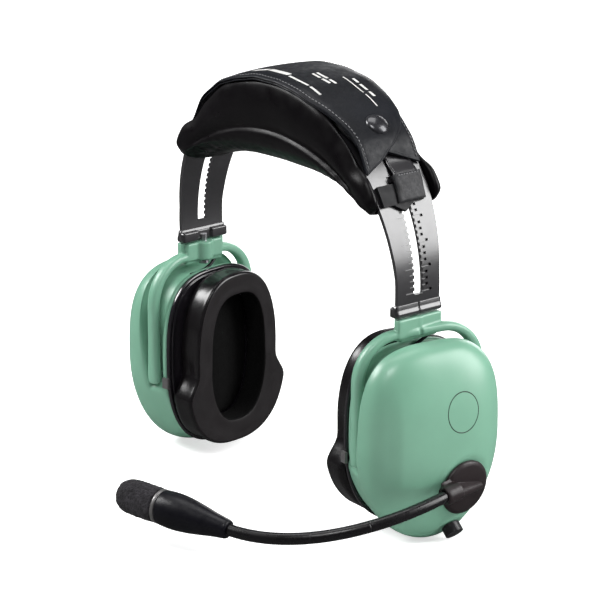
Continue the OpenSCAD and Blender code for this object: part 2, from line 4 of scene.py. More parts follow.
import bmesh
import bpy
import numpy as np
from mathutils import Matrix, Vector


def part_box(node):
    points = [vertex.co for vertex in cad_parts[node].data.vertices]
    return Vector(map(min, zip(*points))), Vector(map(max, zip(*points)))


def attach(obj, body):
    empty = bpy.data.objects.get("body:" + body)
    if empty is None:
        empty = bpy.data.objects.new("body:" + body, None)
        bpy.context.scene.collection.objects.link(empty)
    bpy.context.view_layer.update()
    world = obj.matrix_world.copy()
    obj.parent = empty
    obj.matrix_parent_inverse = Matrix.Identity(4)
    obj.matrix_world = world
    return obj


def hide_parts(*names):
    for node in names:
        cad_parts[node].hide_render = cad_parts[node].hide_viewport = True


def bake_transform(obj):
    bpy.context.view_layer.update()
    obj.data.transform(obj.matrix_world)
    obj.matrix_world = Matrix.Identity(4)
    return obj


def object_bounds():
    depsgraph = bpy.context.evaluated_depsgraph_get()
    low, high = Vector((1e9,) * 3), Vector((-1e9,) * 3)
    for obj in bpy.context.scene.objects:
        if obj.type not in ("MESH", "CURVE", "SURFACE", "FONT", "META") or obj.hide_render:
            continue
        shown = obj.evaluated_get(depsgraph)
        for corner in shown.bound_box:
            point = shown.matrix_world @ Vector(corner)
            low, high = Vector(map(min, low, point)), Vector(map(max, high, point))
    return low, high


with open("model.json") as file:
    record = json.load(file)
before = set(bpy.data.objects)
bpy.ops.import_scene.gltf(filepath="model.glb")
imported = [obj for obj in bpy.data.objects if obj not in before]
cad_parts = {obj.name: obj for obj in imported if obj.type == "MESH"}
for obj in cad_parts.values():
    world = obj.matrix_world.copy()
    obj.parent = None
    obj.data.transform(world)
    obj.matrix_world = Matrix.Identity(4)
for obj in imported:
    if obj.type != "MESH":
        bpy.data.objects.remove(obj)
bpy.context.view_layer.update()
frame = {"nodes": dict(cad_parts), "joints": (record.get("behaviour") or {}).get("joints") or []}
scene = bpy.context.scene
MM = 0.001
JOINT = {j["name"]: j for j in frame["joints"]}
ARCH = np.array(JOINT["left_size_slide"]["pos_m"], float)
SIDE = {1: "left", -1: "right"}
CUP = {side: np.array(JOINT[f"{name}_cup_tilt"]["pos_m"], float) for side, name in SIDE.items()}
TOE = math.asin(abs(JOINT["left_cup_tilt"]["axis"][0]))
COVER = ("headband", "cover_leather")  # body and material slot of the leather pieces


# -------------------- frames

def cup(side, p):
    """Points (u outward, v rearward, z up) in millimetres to metres in the row frame."""
    p = np.atleast_2d(np.asarray(p, float))
    c, s = math.cos(TOE), math.sin(TOE)
    x = p[:, 0] * c + p[:, 1] * s
    y = -p[:, 0] * s + p[:, 1] * c
    return CUP[side] + np.stack([side * x, y, p[:, 2]], 1) * MM


def in_cup(side, p):
    """A point of the row frame in metres to a cup's own (u, v, z) in millimetres."""
    x, y, z = (np.asarray(p, float) - CUP[side]) / MM * [side, 1, 1]
    c, s = math.cos(TOE), math.sin(TOE)
    return round(x * c - y * s, 2), round(x * s + y * c, 2), round(z, 2)


def arch(e, r, y):
    """Elevation in degrees, radius and y in millimetres to metres in the row frame."""
    e, r, y = np.broadcast_arrays(np.asarray(e, float), np.asarray(r, float), np.asarray(y, float))
    a = np.radians(e)
    return ARCH + np.stack([r * np.cos(a), y, r * np.sin(a)], -1) * MM


def smooth(x, lo, hi):
    """0 below lo, 1 above hi and an eased step between them."""
    t = np.clip((np.asarray(x, float) - lo) / (hi - lo), 0, 1)
    return t * t * (3 - 2 * t)


def unit(v):
    v = np.asarray(v, float)
    return v / np.linalg.norm(v)


def axis_frame(z_axis):
    """Rows x, y, z of a frame whose z runs along z_axis."""
    z = unit(z_axis)
    hint = (0, 1, 0) if abs(z[2]) > 0.95 else (0, 0, 1)
    x = unit(np.cross(np.cross(z, hint), z))
    return np.stack([x, np.cross(z, x), z], 0)


# -------------------- materials

# grain: node, output, input values, settings
GRAINS = {
    "leather": ("TexVoronoi", "Distance", {}, {"feature": "DISTANCE_TO_EDGE"}),
    "cell": ("TexVoronoi", "Distance", {}, {"feature": "F1"}),
    "brushed": ("TexWave", "Fac", {"Distortion": 4, "Detail": 4}, {}),
    "noise": ("TexNoise", "Fac", {"Detail": 5}, {}),
}
WARP = 0.0012  # how far the fine noise shifts a grain, in metres


def node(tree, kind, values=None, **settings):
    """A shader node with its own settings and its inputs' values."""
    made = tree.nodes.new("ShaderNode" + kind)
    for key, value in settings.items():
        setattr(made, key, value)
    for key, value in (values or {}).items():
        made.inputs[key].default_value = value
    return made


def spread(tree, source, low, high, span=(0.3, 0.7)):
    """source mapped from span to low..high."""
    made = node(tree, "MapRange", {"From Min": span[0], "From Max": span[1], "To Min": low, "To Max": high})
    tree.links.new(source, made.inputs["Value"])
    return made.outputs[0]


def material(name, color, rough, grain, tone=0.12, span=0.12, patches=40.0, metal=0.0, coat=0.0,
             coat_rough=0.1, spec=0.5, sheen=0.0, painted_pore_shade=False):
    """Mottled colour and roughness over a fine bump; grain is (kind, scale, depth in millimetres).
    Optionally the pits of the bump are painted darker at their bottoms and lighter at their rims: painted
    shade in the pores.
    """
    m = bpy.data.materials.new(name)
    m.use_nodes = True
    tree = m.node_tree
    tree.nodes.clear()
    link = tree.links.new
    bsdf = node(tree, "BsdfPrincipled", {
        "Metallic": metal, "Coat Weight": coat, "Coat Roughness": coat_rough, "Specular IOR Level": spec,
        "Sheen Weight": sheen, "Sheen Roughness": 0.6})
    link(bsdf.outputs[0], node(tree, "OutputMaterial").inputs[0])
    place = node(tree, "TexCoord").outputs["Object"]
    broad = node(tree, "TexNoise", {"Scale": patches, "Detail": 6})
    fine = node(tree, "TexNoise", {"Scale": patches * 6, "Detail": 4})
    for noise in (broad, fine):
        link(place, noise.inputs["Vector"])
    tint = node(tree, "VectorMath", {0: color}, operation="MULTIPLY")
    link(spread(tree, broad.outputs["Fac"], 1 - tone, 1 + tone), tint.inputs[1])
    low, high = max(rough - span / 2, 0.02), min(rough + span / 2, 1)
    link(spread(tree, fine.outputs["Fac"], low, high), bsdf.inputs["Roughness"])
    kind, scale, depth = grain
    texture, output, values, settings = GRAINS[kind]
    tex = node(tree, texture, {**values, "Scale": scale}, **settings)
    height = tex.outputs[output]
    warp = node(tree, "VectorMath", {1: (WARP, WARP, WARP)}, operation="MULTIPLY_ADD")
    link(fine.outputs["Color"], warp.inputs[0])
    link(place, warp.inputs[2])
    link(warp.outputs[0], tex.inputs["Vector"])
    bump = node(tree, "Bump", {"Strength": 1.0, "Distance": depth * MM})
    link(height, bump.inputs["Height"])
    link(bump.outputs[0], bsdf.inputs["Normal"])
    if coat:
        link(bump.outputs[0], bsdf.inputs["Coat Normal"])
    base = tint
    # painted shade: the base colour darkened in the bump's pits and lightened on their rims
    if painted_pore_shade:
        base = node(tree, "VectorMath", operation="MULTIPLY")
        link(tint.outputs[0], base.inputs[0])
        link(spread(tree, height, 0.35, 1.5, (0.0, 0.5)), base.inputs[1])
    link(base.outputs[0], bsdf.inputs["Base Color"])
    return m


GREEN = material("green_shell", (0.152, 0.330, 0.231), 0.36, ("noise", 900, 0.012), tone=0.03,
                 span=0.06, patches=60, coat=0.12, coat_rough=0.3)
GLOSS = material("gloss_black", (0.007, 0.006, 0.008), 0.16, ("noise", 500, 0.01), tone=0.2,
                 span=0.08, coat=0.5, coat_rough=0.08)
BLADE = material("blade_lacquer", (0.013, 0.012, 0.014), 0.30, ("noise", 500, 0.004), tone=0.15,
                 span=0.05, coat=0.8, coat_rough=0.26)
SATIN = material("satin_black", (0.016, 0.015, 0.017), 0.38, ("noise", 900, 0.02), tone=0.15, span=0.12)
NECK = material("gooseneck_black", (0.0045, 0.0040, 0.0048), 0.28, ("noise", 900, 0.02), tone=0.15,
                span=0.1, spec=0.35)
DISC = material("disc_black", (0.015, 0.010, 0.011), 0.42, ("noise", 1200, 0.03), tone=0.2,
                span=0.15, spec=0.35)
VINYL = material("black_vinyl", (0.0024, 0.0018, 0.0024), 0.34, ("leather", 1500, 0.025), tone=0.25,
                 span=0.14, patches=25, spec=0.16)
LEATHER = material("cover_leather", (0.0040, 0.0046, 0.0068), 0.46, ("leather", 900, 0.09), tone=0.3,
                   span=0.2, patches=50, spec=0.18)
TAB = material("tab_leather", (0.022, 0.022, 0.024), 0.6, ("leather", 700, 0.14), tone=0.4,
               span=0.2, patches=120, spec=0.35)
PLATE = material("plate_black", (0.006, 0.006, 0.007), 0.5, ("noise", 900, 0.01), tone=0.2,
                 span=0.12, spec=0.15)
SEALSIDE = material("seal_vinyl", (0.0045, 0.0038, 0.0044), 0.22, ("noise", 120, 0.05), tone=0.2,
                    span=0.08, patches=30, spec=0.4)
# seal face: the same vinyl as the side with its own matte grain and roughness, and a base colour a little
# lighter than the side's as painted light for the lamp on the face
SEAL_FACE_LIT = material("seal_face_vinyl", (0.0065, 0.0048, 0.0056), 0.48, ("leather", 1700, 0.02), tone=0.2,
                    span=0.12, patches=30, spec=0.3)
LINING = material("dark_lining", (0.003, 0.003, 0.003), 0.9, ("cell", 1400, 0.1), tone=0.3, spec=0.1)
THREAD = material("thread", (0.20, 0.20, 0.205), 0.7, ("noise", 3000, 0.03), tone=0.3)
STEEL = material("spring_steel", (0.42, 0.42, 0.44), 0.32, ("brushed", 900, 0.01), metal=1.0, tone=0.1)
SNAP = material("dark_snap", (0.022, 0.022, 0.026), 0.30, ("noise", 400, 0.02), metal=0.5, tone=0.2,
                coat=0.4)
# FOAM and WIND carry painted shade in the pits of their cell bump
FOAM = material("foam", (0.016, 0.016, 0.017), 0.95, ("cell", 1100, 0.3), tone=0.3, painted_pore_shade=True)
WIND = material("windscreen_foam", (0.013, 0.012, 0.014), 0.92, ("cell", 820, 0.5), tone=0.6,
                patches=260, painted_pore_shade=True, sheen=0.03, spec=0.2)
RUBBER = material("black_rubber", (0.0036, 0.0034, 0.0056), 0.36, ("noise", 1100, 0.03), tone=0.2, spec=0.2)
INK = material("mark_ink", (0.012, 0.035, 0.022), 0.5, ("noise", 1500, 0.01))
PRINT = material("print_white", (0.62, 0.62, 0.60), 0.6, ("noise", 1800, 0.02), tone=0.2)
CLIP = material("grey_clip", (0.16, 0.155, 0.155), 0.35, ("noise", 700, 0.02), metal=0.6)


# -------------------- mesh helpers

def build(name, verts, faces, mats, body=None, slot=None, replaces=(), face_mat=None, fix=True):
    """A smooth-shaded mesh object; fix turns its faces outward."""
    me = bpy.data.meshes.new(name)
    me.from_pydata(np.asarray(verts, float).tolist(), [], [[int(i) for i in f] for f in faces])
    me.validate()
    for m in (mats if isinstance(mats, (list, tuple)) else [mats]):
        me.materials.append(m)
    if face_mat is not None:
        me.polygons.foreach_set("material_index", np.asarray(face_mat, np.int32))
    if fix:
        bm = bmesh.new()
        bm.from_mesh(me)
        bmesh.ops.recalc_face_normals(bm, faces=bm.faces)
        bm.to_mesh(me)
        bm.free()
    me.polygons.foreach_set("use_smooth", np.ones(len(me.polygons), bool))
    me.update()
    o = bpy.data.objects.new(name, me)
    scene.collection.objects.link(o)
    settle(o, body, replaces)
    return o


def settle(o, body=None, replaces=()):
    """Puts a piece on its body, in place of the CAD nodes it stands for."""
    if body:
        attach(o, body)
    if replaces:
        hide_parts(*replaces)
    return o


def grid_faces(rows, cols, wrap_rows=False, wrap_cols=True, base=0):
    """Quads of a grid of vertices numbered row by row from base."""
    f = []
    for i in range(rows if wrap_rows else rows - 1):
        this, after = base + i * cols, base + (i + 1) % rows * cols
        for j in range(cols if wrap_cols else cols - 1):
            k = (j + 1) % cols
            f.append((this + j, this + k, after + k, after + j))
    return f


def loft(rings, wrap=False):
    """Rings of equal length to (verts, faces): a tube with fans over its ends, or a closed loop."""
    rings = [np.asarray(r, float) for r in rings]
    n = len(rings[0])
    v = np.concatenate(rings)
    f = grid_faces(len(rings), n, wrap_rows=wrap)
    if not wrap:
        first, last, start = len(v), len(v) + 1, len(v) - n
        f += [(first, (j + 1) % n, j) for j in range(n)]
        f += [(last, start + j, start + (j + 1) % n) for j in range(n)]
        v = np.concatenate([v, [rings[0].mean(0), rings[-1].mean(0)]])
    return v, f


def circle(steps):
    """Angles of steps points round a circle."""
    return np.linspace(0, 2 * math.pi, steps, endpoint=False)


def lathe(profile, origin, axis, steps=64):
    """Profile rows (radius, height) in millimetres, turned about axis through origin (metres)."""
    m = axis_frame(axis)
    a = circle(steps)
    return loft([origin + np.stack([r * np.cos(a), r * np.sin(a), np.full(steps, h)], 1) * MM @ m
                 for r, h in profile])


def rounded(points, radius, n=6):
    """Open polyline with its inner corners rounded."""
    pts = [np.asarray(p, float) for p in points]
    out = [pts[0]]
    for a, b, c in zip(pts, pts[1:], pts[2:]):
        la, lc = np.linalg.norm(a - b), np.linalg.norm(c - b)
        d = min(radius, 0.49 * la, 0.49 * lc)
        if d <= 1e-6:
            out.append(b)
            continue
        p, q = b + (a - b) / la * d, b + (c - b) / lc * d
        for t in np.arange(n + 1) / n:
            out.append((1 - t) ** 2 * p + 2 * t * (1 - t) * b + t * t * q)
    out.append(pts[-1])
    return np.array(out)


def resample(poly, n):
    """n points evenly spaced along a polyline."""
    d = np.concatenate([[0], np.cumsum(np.linalg.norm(np.diff(poly, axis=0), axis=1))])
    s = np.linspace(0, d[-1], n)
    return np.stack([np.interp(s, d, poly[:, i]) for i in range(poly.shape[1])], 1)


def tube(path, radius, steps=20):
    """Round tube along a path in metres; radius in millimetres, one value or one per point."""
    path = np.asarray(path, float)
    rad = np.broadcast_to(np.asarray(radius, float), (len(path),)) * MM
    tang = np.gradient(path, axis=0)
    tang /= np.linalg.norm(tang, axis=1)[:, None]
    x = unit(np.cross(tang[0], (0.12, 0.2, 0.97)))
    a = circle(steps)
    rings = []
    for p, t, r in zip(path, tang, rad):
        x = unit(x - t * (x @ t))
        y = np.cross(t, x)
        rings.append(p + r * (np.cos(a)[:, None] * x + np.sin(a)[:, None] * y))
    return loft(rings)


def bezier(c, t):
    """Points at t on the cubic curve with control points c."""
    c = np.asarray(c, float)
    t = np.asarray(t, float)[:, None]
    return (1 - t) ** 3 * c[0] + 3 * (1 - t) ** 2 * t * c[1] + 3 * (1 - t) * t * t * c[2] + t ** 3 * c[3]


def join(parts):
    """Several (verts, faces) as one."""
    v, f, k = [], [], 0
    for pv, pf in parts:
        v.append(pv)
        f += [tuple(i + k for i in q) for q in pf]
        k += len(pv)
    return np.concatenate(v), f


def block(place, lo, hi):
    """Box from corner lo to corner hi in a local frame; place takes its points to metres."""
    p = np.array([[x, y, z] for x in (lo[0], hi[0]) for y in (lo[1], hi[1]) for z in (lo[2], hi[2])], float)
    return place(p), [(0, 1, 3, 2), (4, 6, 7, 5), (0, 4, 5, 1), (2, 3, 7, 6), (0, 2, 6, 4), (1, 5, 7, 3)]


def modify(o, *mods):
    """Adds modifiers as (type, settings) and applies them."""
    for kind, settings in mods:
        m = o.modifiers.new(kind.lower(), kind)
        for k, val in settings.items():
            setattr(m, k, val)
    dg = bpy.context.evaluated_depsgraph_get()
    me = bpy.data.meshes.new_from_object(o.evaluated_get(dg))
    o.modifiers.clear()
    o.data = me
    me.polygons.foreach_set("use_smooth", np.ones(len(me.polygons), bool))
    return o


def coords(o):
    """A mesh's points as an array."""
    co = np.zeros(len(o.data.vertices) * 3, np.float32)
    o.data.vertices.foreach_get("co", co)
    return co.reshape(-1, 3).astype(float)


def set_coords(o, co):
    """Moves a mesh's points."""
    o.data.vertices.foreach_set("co", np.asarray(co, np.float32).ravel())
    o.data.update()


def wobble(p, scale, seed=0):
    """Smooth repeatable noise of about -1 to 1 at points in metres."""
    g = np.random.default_rng(seed)
    out = np.zeros(len(p))
    for k in range(7):
        d = unit(g.normal(size=3))
        out += np.sin((p @ d) * 2 * math.pi / scale * g.uniform(0.7, 1.5) + g.uniform(0, 6.28))
    return out / 3.0


def stitches(name, pts, normals, length, pitch, radius):
    """A row of short raised thread lengths along a polyline on the cover."""
    seg = np.linalg.norm(np.diff(pts, axis=0), axis=1)
    s = np.concatenate([[0], np.cumsum(seg)]) / MM
    parts = []
    at = pitch / 2
    while at + length < s[-1]:
        q = []
        for k in np.linspace(0, 1, 5):
            w = at + k * length
            p = np.array([np.interp(w, s, pts[:, i]) for i in range(3)])
            n = unit(np.array([np.interp(w, s, normals[:, i]) for i in range(3)]))
            q.append(p + n * MM * (radius * 1.1 * math.sin(math.pi * k) - radius * 0.35))
        parts.append(tube(q, [radius * 0.5, radius, radius, radius, radius * 0.5], 6))
        at += pitch
    build(name, *join(parts), THREAD, *COVER, fix=False)


# -------------------- outlines of the ear cups

# dome outline: half width, height of its middle, reach up and down; bulge start, outer face, crown power
DOME_A, DOME_ZC, DOME_UP, DOME_DOWN = 41.4, 10.0, 50.0, 57.0
BULGE_U, DOME_OUT, PEAK = 7.0, 27.9, 2.75
CUP_MID = 8.0    # height of the seal's and the neck's middle
FLANGE_U = -9.5  # where the dome meets the black ring
SEGS = 176
TH = circle(SEGS)


def squircle(t, a, up, down, n_up, n_down):
    """Rounded box round the origin, with its own reach and squareness above and below."""
    n = np.where(np.sin(t) > 0, n_up, n_down)
    b = np.where(np.sin(t) > 0, up, down)
    r = (np.abs(np.cos(t) / a) ** n + np.abs(np.sin(t) / b) ** n) ** (-1 / n)
    return np.stack([r * np.cos(t), r * np.sin(t)], 1)


def dome_outline(t):
    return squircle(t, DOME_A, DOME_UP, DOME_DOWN, 3.1, 2.0)


def dome_ring(k):
    """Dome outline scaled by k."""
    return dome_outline(TH) * k + [0, DOME_ZC]


def neck_ring(inset):
    return squircle(TH, 32 - inset, 45 - inset, 47 - inset, 3, 2.3) + [0, CUP_MID]


def flange_ring(grow=0.0):
    return neck_ring(-5 - grow) * [1, 0.97]


def pear_ring(inset, squeeze=0.0):
    """Ear seal outline, wider below."""
    power = lambda x: np.sign(x) * np.abs(x) ** 0.8
    z = CUP_MID + (49 - inset) * power(np.sin(TH))
    w = 31.8 - inset + 8.0 * smooth(-z, -4, 12) - squeeze * np.exp(-((z - 6) / 8.0) ** 2)
    return np.stack([w * power(np.cos(TH)), z], 1)


def hole_ring(inset):
    return squircle(TH, 20.6 - inset, 36 - inset, 36 - inset, 2.8, 2.5) + [1.0, 8.4]


def stack(u, ring):
    """Points (u, v, z) of an outline held at u."""
    return np.column_stack([np.broadcast_to(u, (SEGS,)), ring])


# -------------------- domes

def dome_piece(side):
    """Closed shell: outer skin from the flange over the bulge, then back down the inside.

    The upper half steps in from the flange to a neck and out again; the lower half runs straight. Both
    are worked out in full and mixed across the cup's middle."""
    flange, neck = flange_ring(), neck_ring(0)
    z = dome_ring(1.0)[:, 1]
    wall_u = 3.6 + 0.13 * np.clip(z, -8, 70)
    start = np.clip(wall_u + 0.2, 0, BULGE_U + 4)
    rise = DOME_OUT - BULGE_U
    upper, lower = [], []

    def add(up_u, up_ring, low_u, low_k):
        upper.append(stack(up_u, up_ring))
        lower.append(stack(low_u, dome_ring(low_k)))

    for s in (0.0, 0.5, 1.0):
        add(FLANGE_U, neck_ring(2.6 - 7.6 * s) * [1, 1 - 0.03 * s], FLANGE_U, 0.86 + 0.075 * s)
    for s in np.linspace(0, 1, 6)[1:]:
        add(FLANGE_U + 4 * s, flange, FLANGE_U + 4 * s, 0.935 + 0.012 * s)
    for s in np.linspace(0, 1, 5)[1:]:
        add(-5.5 + 0.2 * s, flange * (1 - s) + neck * s, -5.5 + 0.6 * s, 0.947 + 0.004 * s)
    for s in np.linspace(0, 1, 10)[1:]:
        add(-5.3 + (wall_u + 5.0) * s, neck, -4.9 + 7.4 * s, 0.951 + 0.034 * s)
    for s in np.linspace(0, 1, 8)[1:]:
        add(wall_u - 0.3 + 0.5 * s, neck * (1 - s) + dome_ring(0.985) * s, 2.5 + 1.6 * s, 0.985 + 0.006 * s)
    for s in np.linspace(0, 1, 6)[1:]:
        add(start + (BULGE_U + 1.2 - start) * s, dome_ring(0.985 + 0.015 * math.sin(s * math.pi / 2)),
            4.1 + 4.1 * s, 0.991 + 0.009 * s)
    for a in np.linspace(0.06, 1.0, 54) * math.pi / 2:
        k = max(max(math.cos(a), 1e-4) ** (2 / PEAK), 0.03)
        u = BULGE_U + rise * max(math.sin(a), 1e-4) ** (2 / PEAK)
        if u >= BULGE_U + 1.3:
            add(u, dome_ring(k), u, k)
    mix = smooth(-z, 2.0, 9.0)[:, None]
    sharp = np.array(upper) * (1 - mix) + np.array(lower) * mix
    rings = sharp.copy()
    for _ in range(3):
        rings[1:-1] = 0.25 * rings[:-2] + 0.5 * rings[1:-1] + 0.25 * rings[2:]
    fade = np.clip((np.arange(len(rings)) - 36) / 10, 0, 1)[:, None, None]
    rings = rings * (1 - fade) + sharp * fade
    inner = [stack(FLANGE_U + 14 * s, neck_ring(2.6)) for s in np.linspace(0, 1, 4)[:-1]]
    for a in np.linspace(0.25, 1.0, 10) * math.pi / 2:
        k = max(max(math.cos(a), 1e-4) ** (2 / PEAK), 0.03)
        inner.append(stack(BULGE_U + (rise - 2.6) * math.sin(a) ** (2 / PEAK), dome_ring(0.93 * k)))
    outer = dome_detail(np.concatenate(rings), side).reshape(-1, SEGS, 3)
    return [cup(side, ring) for ring in [*inner[::-1], *outer]]


def panel_lift(u, v, z):
    """Height of the soft raised panel on the outer face."""
    return smooth(v, -33, -25) * smooth(-v, -44, -20) * smooth(z, -19, -10) * smooth(-z, -46, -20) \
        * smooth(u, 14, 22)


def dome_detail(p, side):
    """Raises the panel and, on the left dome, flattens the places of the boom disc and the knob."""
    p = p.copy()
    p[:, 0] += panel_lift(*p.T)
    if side > 0:
        for at, tilt, r, edge, level in ((DISC_AT, DISC_TILT, 15.3, 4.0, -0.25),
                                         (KNOB_AT, 45, 6.6, 2.5, -0.2)):
            m = local_axis(tilt)
            q = (p - at) @ m.T
            w = 1 - smooth(np.hypot(q[:, 0], q[:, 1]), r, r + edge)
            q[:, 2] = np.where(q[:, 2] > -14, q[:, 2] * (1 - w) + level * w, q[:, 2])
            p = q @ m + at
    return p


def local_axis(tilt):
    """Rows (x, y, z) of a disc's frame in a cup's own frame: z tilts outward and down."""
    turn, b = TOE, math.radians(90 + tilt)
    rz = np.array([[math.cos(turn), -math.sin(turn), 0], [math.sin(turn), math.cos(turn), 0], [0, 0, 1]])
    ry = np.array([[math.cos(b), 0, math.sin(b)], [0, 1, 0], [-math.sin(b), 0, math.cos(b)]])
    return (rz @ ry).T


DISC_AT = in_cup(1, JOINT["boom_swivel"]["pos_m"])
KNOB_AT = in_cup(1, JOINT["volume_turn"]["pos_m"])
DISC_TILT = 8

for side, name in SIDE.items():
    build(f"{name}_dome_shell", *loft(dome_piece(side)), GREEN, f"{name}_cup", "green_shell",
          (f"{name}_dome",))


# -------------------- black rings and seals

def mixed(share, a, b):
    """Outline a at share 0, b at share 1."""
    return a * (1 - share) + b * share


# rows (u, share of the hole's outline, inset)
PLATE_ROWS = rounded([(-9.55, 1, 0), (-9.55, 0, 2), (-9.6, 0, 0.25), (-10, 0, -0.1), (-11.6, 0, -0.1),
                      (-12, 0, 0.3), (-12.1, 0, 1.3), (-11.8, 0, 1.6), (-11.8, 0, 2.2), (-12.3, 0, 2.5),
                      (-12.4, 0, 4.5), (-13.9, 0, 9), (-13.9, 1, 0), (-12, 1, -0.4), (-9.55, 1, 0)],
                     0.5, 3)[:-1]
SEAL_ROWS = rounded([(-14.05, 1, -1), (-14.05, 0.55, 0), (-14.1, 0, 6), (-13.7, 0, 3.4),
                     (-14.1, 0, 2.2), (-15.2, 0, 1), (-17.5, 0, 0.4), (-21, 0, 0.3),
                     (-24, 0, 0.2), (-26.6, 0, 0), (-27.8, 0, 0.1), (-28.5, 0, 0.5),
                     (-28.9, 0, 1.2), (-28.9, 0, 2.4), (-28.75, 0.3, 1.6), (-28.7, 0.6, 0.8),
                     (-28.7, 0.88, 0.3), (-28.4, 0.97, 0), (-27.2, 1, -0.2), (-25, 1, -0.5),
                     (-20, 1, -0.6), (-15, 1, -0.7), (-14.05, 1, -1)], 0.6, 2)[:-1]

for side, name in SIDE.items():
    rings = [cup(side, stack(u, mixed(share, flange_ring(0.6 - inset), hole_ring(inset - 1.5))))
             for u, share, inset in PLATE_ROWS]
    build(f"{name}_ring_plate", *loft(rings, wrap=True), GLOSS, f"{name}_cup", "gloss_black",
          (f"{name}_baffle_ring",))


def seal_piece(side, name):
    """Vinyl ring with a waist, a gathered seam at the back and a slightly uneven skin."""
    rings, face_mat = [], []
    for u, share, inset in SEAL_ROWS:
        waist = math.exp(-((u + 20) / 6.0) ** 2)
        q = mixed(share, pear_ring(inset, squeeze=1.2 * waist), hole_ring(inset))
        p = stack(u, q)
        r = q - [0, CUP_MID]
        ang = np.arctan2(r[:, 1], r[:, 0])
        if share < 0.3:
            back = math.exp(-((u + 14.8) / 1.5) ** 2)
            top = smooth(q[:, 1], 25, 45)
            gather = 0.45 * back * (0.35 + 0.65 * top) * np.sin(ang * 130 + 2 * np.sin(ang * 9))
            soft = 0.22 * np.sin(ang * 7 + 1.3 * side) + 0.14 * np.sin(ang * 13 + 2 + side)
            p[:, 1:] += r / np.linalg.norm(r, axis=1)[:, None] * (gather + soft * waist)[:, None]
        else:
            p[:, 0] += 0.18 * (1 - abs(2 * share - 1)) * np.sin(ang * 5 + side)
        rings.append(cup(side, p))
        # index 1 (the face) takes the face vinyl, whose extra lightness over the side is painted light
        wall, face = share > 0.9, share > 0.02 or u < -28.85
        face_mat += [2 if wall else 1 if face else 0] * SEGS
    build(f"{name}_seal", *loft(rings, wrap=True), [SEALSIDE, SEAL_FACE_LIT, LINING], f"{name}_cup", "seal_vinyl",
          (f"{name}_ear_seal",), face_mat=face_mat)


for side, name in SIDE.items():
    seal_piece(side, name)
    # open-cell foam over the earphone, slightly crowned
    rings = []
    for u, k in ((-9.1, 0.4), (-9.1, 1.0), (-10.5, 1.0), (-12.0, 0.985), (-12.5, 0.94), (-12.8, 0.8),
                 (-13.2, 0.55), (-13.4, 0.3), (-13.45, 0.08)):
        p = stack(u, (hole_ring(-1.6) - [0, 9]) * k + [0, 9])
        p[:, 0] += 0.10 * wobble(cup(side, p), 0.006, 3) * (k < 0.96)
        rings.append(cup(side, p))
    build(f"{name}_foam_skin", *loft(rings), LINING, f"{name}_cup", "foam", (f"{name}_foam_cover",))
    rings = [cup(side, stack(u, (neck_ring(7.6) - [0, CUP_MID]) * [k, k * 0.8] + [0, CUP_MID]))
             for u, k in ((-8.7, 0.5), (-8.7, 0.86), (-7.0, 0.93), (4.0, 0.93), (9.0, 0.88), (11.5, 0.72),
                          (11.9, 0.4))]
    build(f"{name}_foam_block", *loft(rings), FOAM, f"{name}_cup", "foam", (f"{name}_foam_liner",))


# -------------------- yokes

def band_tube(path, out, half_a, half_b, power=0.75, steps=28):
    """Tube with a squarish section: half_a along out, half_b across it, in millimetres."""
    path = np.asarray(path, float)
    tang = np.gradient(path, axis=0)
    tang /= np.linalg.norm(tang, axis=1)[:, None]
    a = circle(steps)
    ca = np.sign(np.cos(a)) * np.abs(np.cos(a)) ** power
    sa = np.sign(np.sin(a)) * np.abs(np.sin(a)) ** power
    rings = []
    for i, (p, t) in enumerate(zip(path, tang)):
        x = unit(out - t * (out @ t))
        y = np.cross(t, x)
        rings.append(p + MM * (half_a[i] * ca[:, None] * x + half_b[i] * sa[:, None] * y))
    return loft(rings)


# half widths of the arms by height, along and across the cup's axis
ARM_Z = [-4.4, -3.2, 0, 3, 12, 50, 63]
ARM_WIDE = [2.9, 3.7, 4.0, 3.9, 3.3, 3.3, 3.4]
ARM_THICK = [2.3, 3.1, 3.25, 3.2, 3.2, 3.1, 2.5]
ARM_V, ARM_BEND, ARM_CROWN = 36.9, 22.4, 63.2


